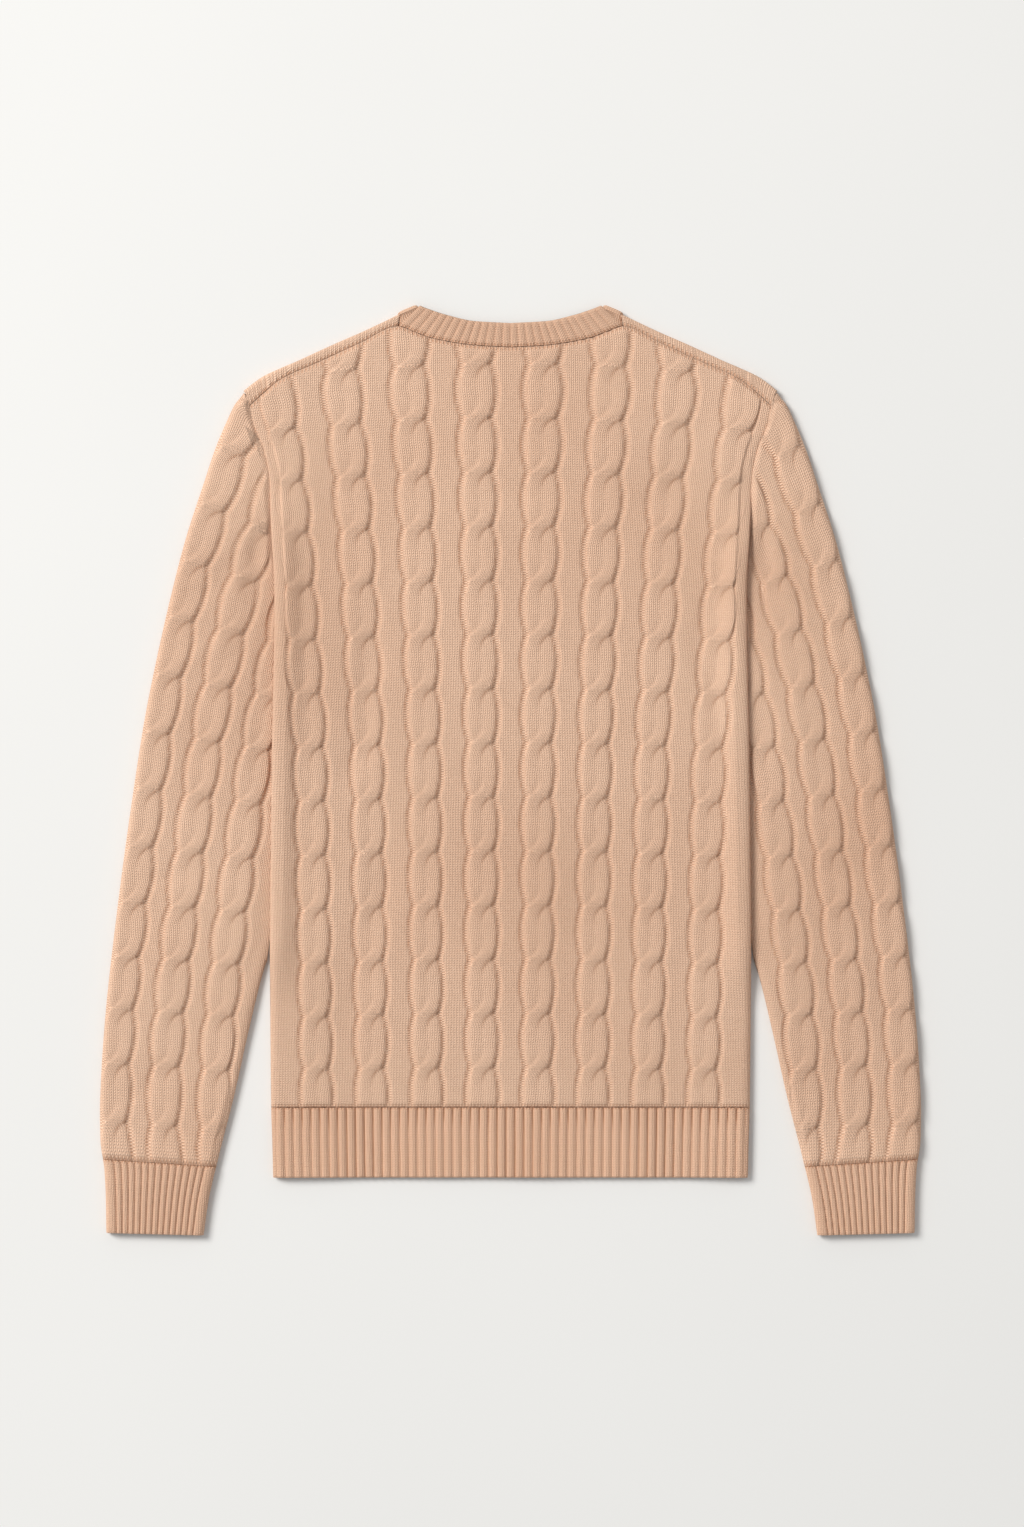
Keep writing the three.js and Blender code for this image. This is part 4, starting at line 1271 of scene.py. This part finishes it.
@dataclass
class Neckband(KnitPiece):
    """Ribbed strip round the neck, folded at both sides of the neck."""

    radius: float = 3.1
    ribs: int = 26
    per_rib: int = 8
    seam_half: float = 87.8
    top_half: float = 71.4
    front_seam_half: float = 84.0
    front_top_half: float = 63.0
    fold_seam: tuple[float, float] = (89.4, 360.6)
    fold_top: tuple[float, float] = (73.4, 367.2)
    fold_ribs: float = 2.0
    fold_sink: float = 1.3
    fold_taper: float = 7.0
    shares: tuple[float, ...] = (0.0, 0.03, 0.08, 0.16, 0.28, 0.4, 0.52, 0.64, 0.76, 0.86, 0.93, 0.97, 1.0)

    def lattice(self) -> Lattice:
        """Stations round the neck, each from the seam to the free edge."""
        seam, top, angle, side, phase = self.stations()
        across = top - seam
        outward = np.stack((across[:, 1], -across[:, 0]), axis=-1)
        outward /= np.linalg.norm(outward, axis=1)[:, None]
        outward *= np.where(side < 0, -1.0, 1.0)[:, None]
        turn = np.radians(angle)
        shares = np.array(self.shares)[:, None]
        length = np.linalg.norm(across, axis=1)[None, :]
        from_seam = shares * length
        from_top = (1.0 - shares) * length
        edge = roll(from_top, 3.0)
        relief, purl = NECK_RIB.read(phase)
        upper = smooth(-0.3, 0.3, np.sin(turn))
        shown = relief[None, :] * 0.8 * upper * mix(0.5, 1.0, edge)
        sink = 2.2 * (1.0 - edge) + 0.5 * (1.0 - roll(from_seam, 2.2)) * upper
        at_fold = (side != 0)[None, :] * (1.0 - roll(from_seam, self.fold_taper))
        sink = sink + self.fold_sink * at_fold
        reach = self.radius + shown - sink
        push = np.where(side == 0, 0.0, reach * np.cos(turn) - self.radius)
        place = seam[None] + across[None] * shares[..., None] + outward[None] * push[..., None]
        z = self.radius + reach * np.sin(turn)
        steps = np.linalg.norm(np.diff(seam, axis=0), axis=1) + self.radius * np.abs(np.diff(turn))
        around = np.concatenate(([0.0], np.cumsum(steps)))
        wale = np.broadcast_to(around / STITCH.width, z.shape)
        course = from_seam / STITCH.height
        dots = stitch_row(from_seam, 1.1) * upper
        purl = np.broadcast_to(purl * upper, z.shape)
        return Lattice(place[..., 0], place[..., 1], z, wale, course, purl, NECK_RIB.shade * purl, dots)

    def stations(self) -> tuple[Array, ...]:
        """Seam and top points, fold angle, side of a fold and rib phase of each station."""
        count = self.ribs * self.per_rib
        share = np.linspace(-1.0, 1.0, count + 1)
        back_seam = self.line(BACK_TOP, share * self.seam_half, np.full_like(share, SEAM_GAP))
        back_top = self.line(BAND_TOP_BACK, share * self.top_half, np.zeros_like(share))
        front_share = np.linspace(1.0, -1.0, count // 2 + 1)
        away = SEAM_GAP + 0.8 * np.abs(front_share) ** 3
        front_seam = self.line(FRONT_NECK, front_share * self.front_seam_half, away)
        front_top = self.line(BAND_TOP_FRONT, front_share * self.front_top_half, np.zeros_like(away))
        bend = np.linspace(90.0, -90.0, 33)
        right = np.repeat([[*self.fold_seam, *self.fold_top]], len(bend), axis=0)
        left = right * np.array([-1.0, 1.0, -1.0, 1.0])
        seam = np.vstack((back_seam, right[:, :2], front_seam, left[:, :2], back_seam[:1]))
        top = np.vstack((back_top, right[:, 2:], front_top, left[:, 2:], back_top[:1]))
        level = np.full(len(share), 90.0)
        under = np.full(len(front_share), -90.0)
        angle = np.concatenate((level, bend, under, bend[::-1], level[:1]))
        ones = np.ones(len(bend))
        side = np.concatenate((0.0 * level, ones, 0.0 * under, -ones, [0.0]))
        rib = (share + 1.0) / 2.0 * self.ribs - 0.5
        after = rib[-1] + self.fold_ribs * (level[0] - bend) / (bend[0] - bend[-1])
        before = rib[0] - (after - rib[-1])[::-1]
        phase = np.concatenate((rib, after, np.zeros(len(under)), before, rib[:1]))
        return seam, top, angle, side, phase

    @staticmethod
    def line(curve: Curve, x: Array, away: Array) -> Array:
        """Points of a curve on both sides of the middle."""
        return np.stack((x, curve(np.abs(x)) + away), axis=-1)


@dataclass(frozen=True)
class Studio:
    """Pale floor, soft light from the upper left and a camera straight above."""

    floor_size: float = 12.0
    floor_colour: tuple[float, float, float] = (0.825, 0.82, 0.802)
    camera_place: tuple[float, float] = (0.0012, 0.0051)
    camera_height: float = 3.0
    view_height: float = 1.2063
    sensor: float = 36.0
    sky: float = 0.455
    lamp_place: tuple[float, float, float] = (-5.0, 3.2, 5.8)
    lamp_size: float = 3.4
    lamp_power: float = 640.0

    def build(self) -> None:
        """Make the floor, light, sky and camera."""
        self.floor()
        self.light()
        self.camera()
        bpy.context.scene.view_settings.view_transform = "Standard"

    def floor(self) -> None:
        """Plain sheet just below the sweater."""
        bpy.ops.mesh.primitive_plane_add(size=self.floor_size, location=(0.0, 0.0, -0.2 * MM))
        floor = bpy.context.object
        floor.name = "floor"
        material = bpy.data.materials.new("floor_paper")
        material.use_nodes = True
        shader = material.node_tree.nodes["Principled BSDF"]
        sketch = Sketch(material.node_tree)
        pale = tuple(0.96 * channel for channel in self.floor_colour)
        sketch.join(sketch.colours(sketch.noise(2.0, 2.0), pale, self.floor_colour), shader.inputs["Base Color"])
        shader.inputs["Roughness"].default_value = 0.9
        shader.inputs["Specular IOR Level"].default_value = 0.1
        floor.data.materials.append(material)

    def light(self) -> None:
        """Soft lamp at the upper left and an even sky."""
        bpy.ops.object.light_add(type="AREA", location=self.lamp_place)
        lamp = bpy.context.object
        lamp.name = "lamp"
        lamp.data.size = self.lamp_size
        lamp.data.energy = self.lamp_power
        lamp.data.color = (1.0, 0.99, 0.97)
        x, y, z = self.lamp_place
        lamp.rotation_euler = (math.atan2(math.hypot(x, y), z), 0.0, math.atan2(x, -y))
        world = bpy.data.worlds.new("sky")
        world.use_nodes = True
        shade = world.node_tree.nodes["Background"]
        shade.inputs["Color"].default_value = (0.985, 0.99, 1.0, 1.0)
        shade.inputs["Strength"].default_value = self.sky
        bpy.context.scene.world = world

    def camera(self) -> None:
        """Camera straight above, at the photograph's framing."""
        x, y = self.camera_place
        bpy.ops.object.camera_add(location=(x, y, self.camera_height), rotation=(0.0, 0.0, 0.0))
        camera = bpy.context.object
        camera.data.sensor_width = self.sensor
        camera.data.lens = self.sensor * self.camera_height / self.view_height
        bpy.context.scene.camera = camera


def sweater_pieces() -> list[KnitPiece]:
    """All pieces of the sweater, from the lowest up."""
    cable = {"finish": CABLE_KNIT, "material_slot": "cable_knit"}
    rib = {"finish": RIB_KNIT, "material_slot": "rib_knit"}
    pieces: list[KnitPiece] = [
        FrontPanel("front", flat=(0.42, 0.64), area=0.235, **cable),
        HemRib("hem_rib_front", flat=(0.377, 0.056), area=0.021, faces_down=True, **rib),
        BackPanel("back", flat=(0.42, 0.62), area=0.235, rests_on=("front",), **cable),
        HemRib("hem_rib_back", flat=(0.377, 0.056), area=0.021, rests_on=("hem_rib_front",), **rib),
        Neckband("neckband", flat=(0.42, 0.022), area=0.0085, closed=True, **rib),
    ]
    for side, name in ((Side.RIGHT, "right"), (Side.LEFT, "left")):
        both = {"side": side, "closed": True}
        pieces.append(Sleeve(f"sleeve_{name}", flat=(0.26, 0.62), area=0.125, **both, **cable))
        pieces.append(Cuff(f"cuff_{name}", flat=(0.18, 0.06), area=0.0103, **both, **rib))
    return pieces


def main() -> None:
    """Build the sweater and the studio."""
    logging.basicConfig(level=logging.INFO)
    for piece in sweater_pieces():
        piece.build()
    Studio().build()


if __name__ == "__main__":
    main()
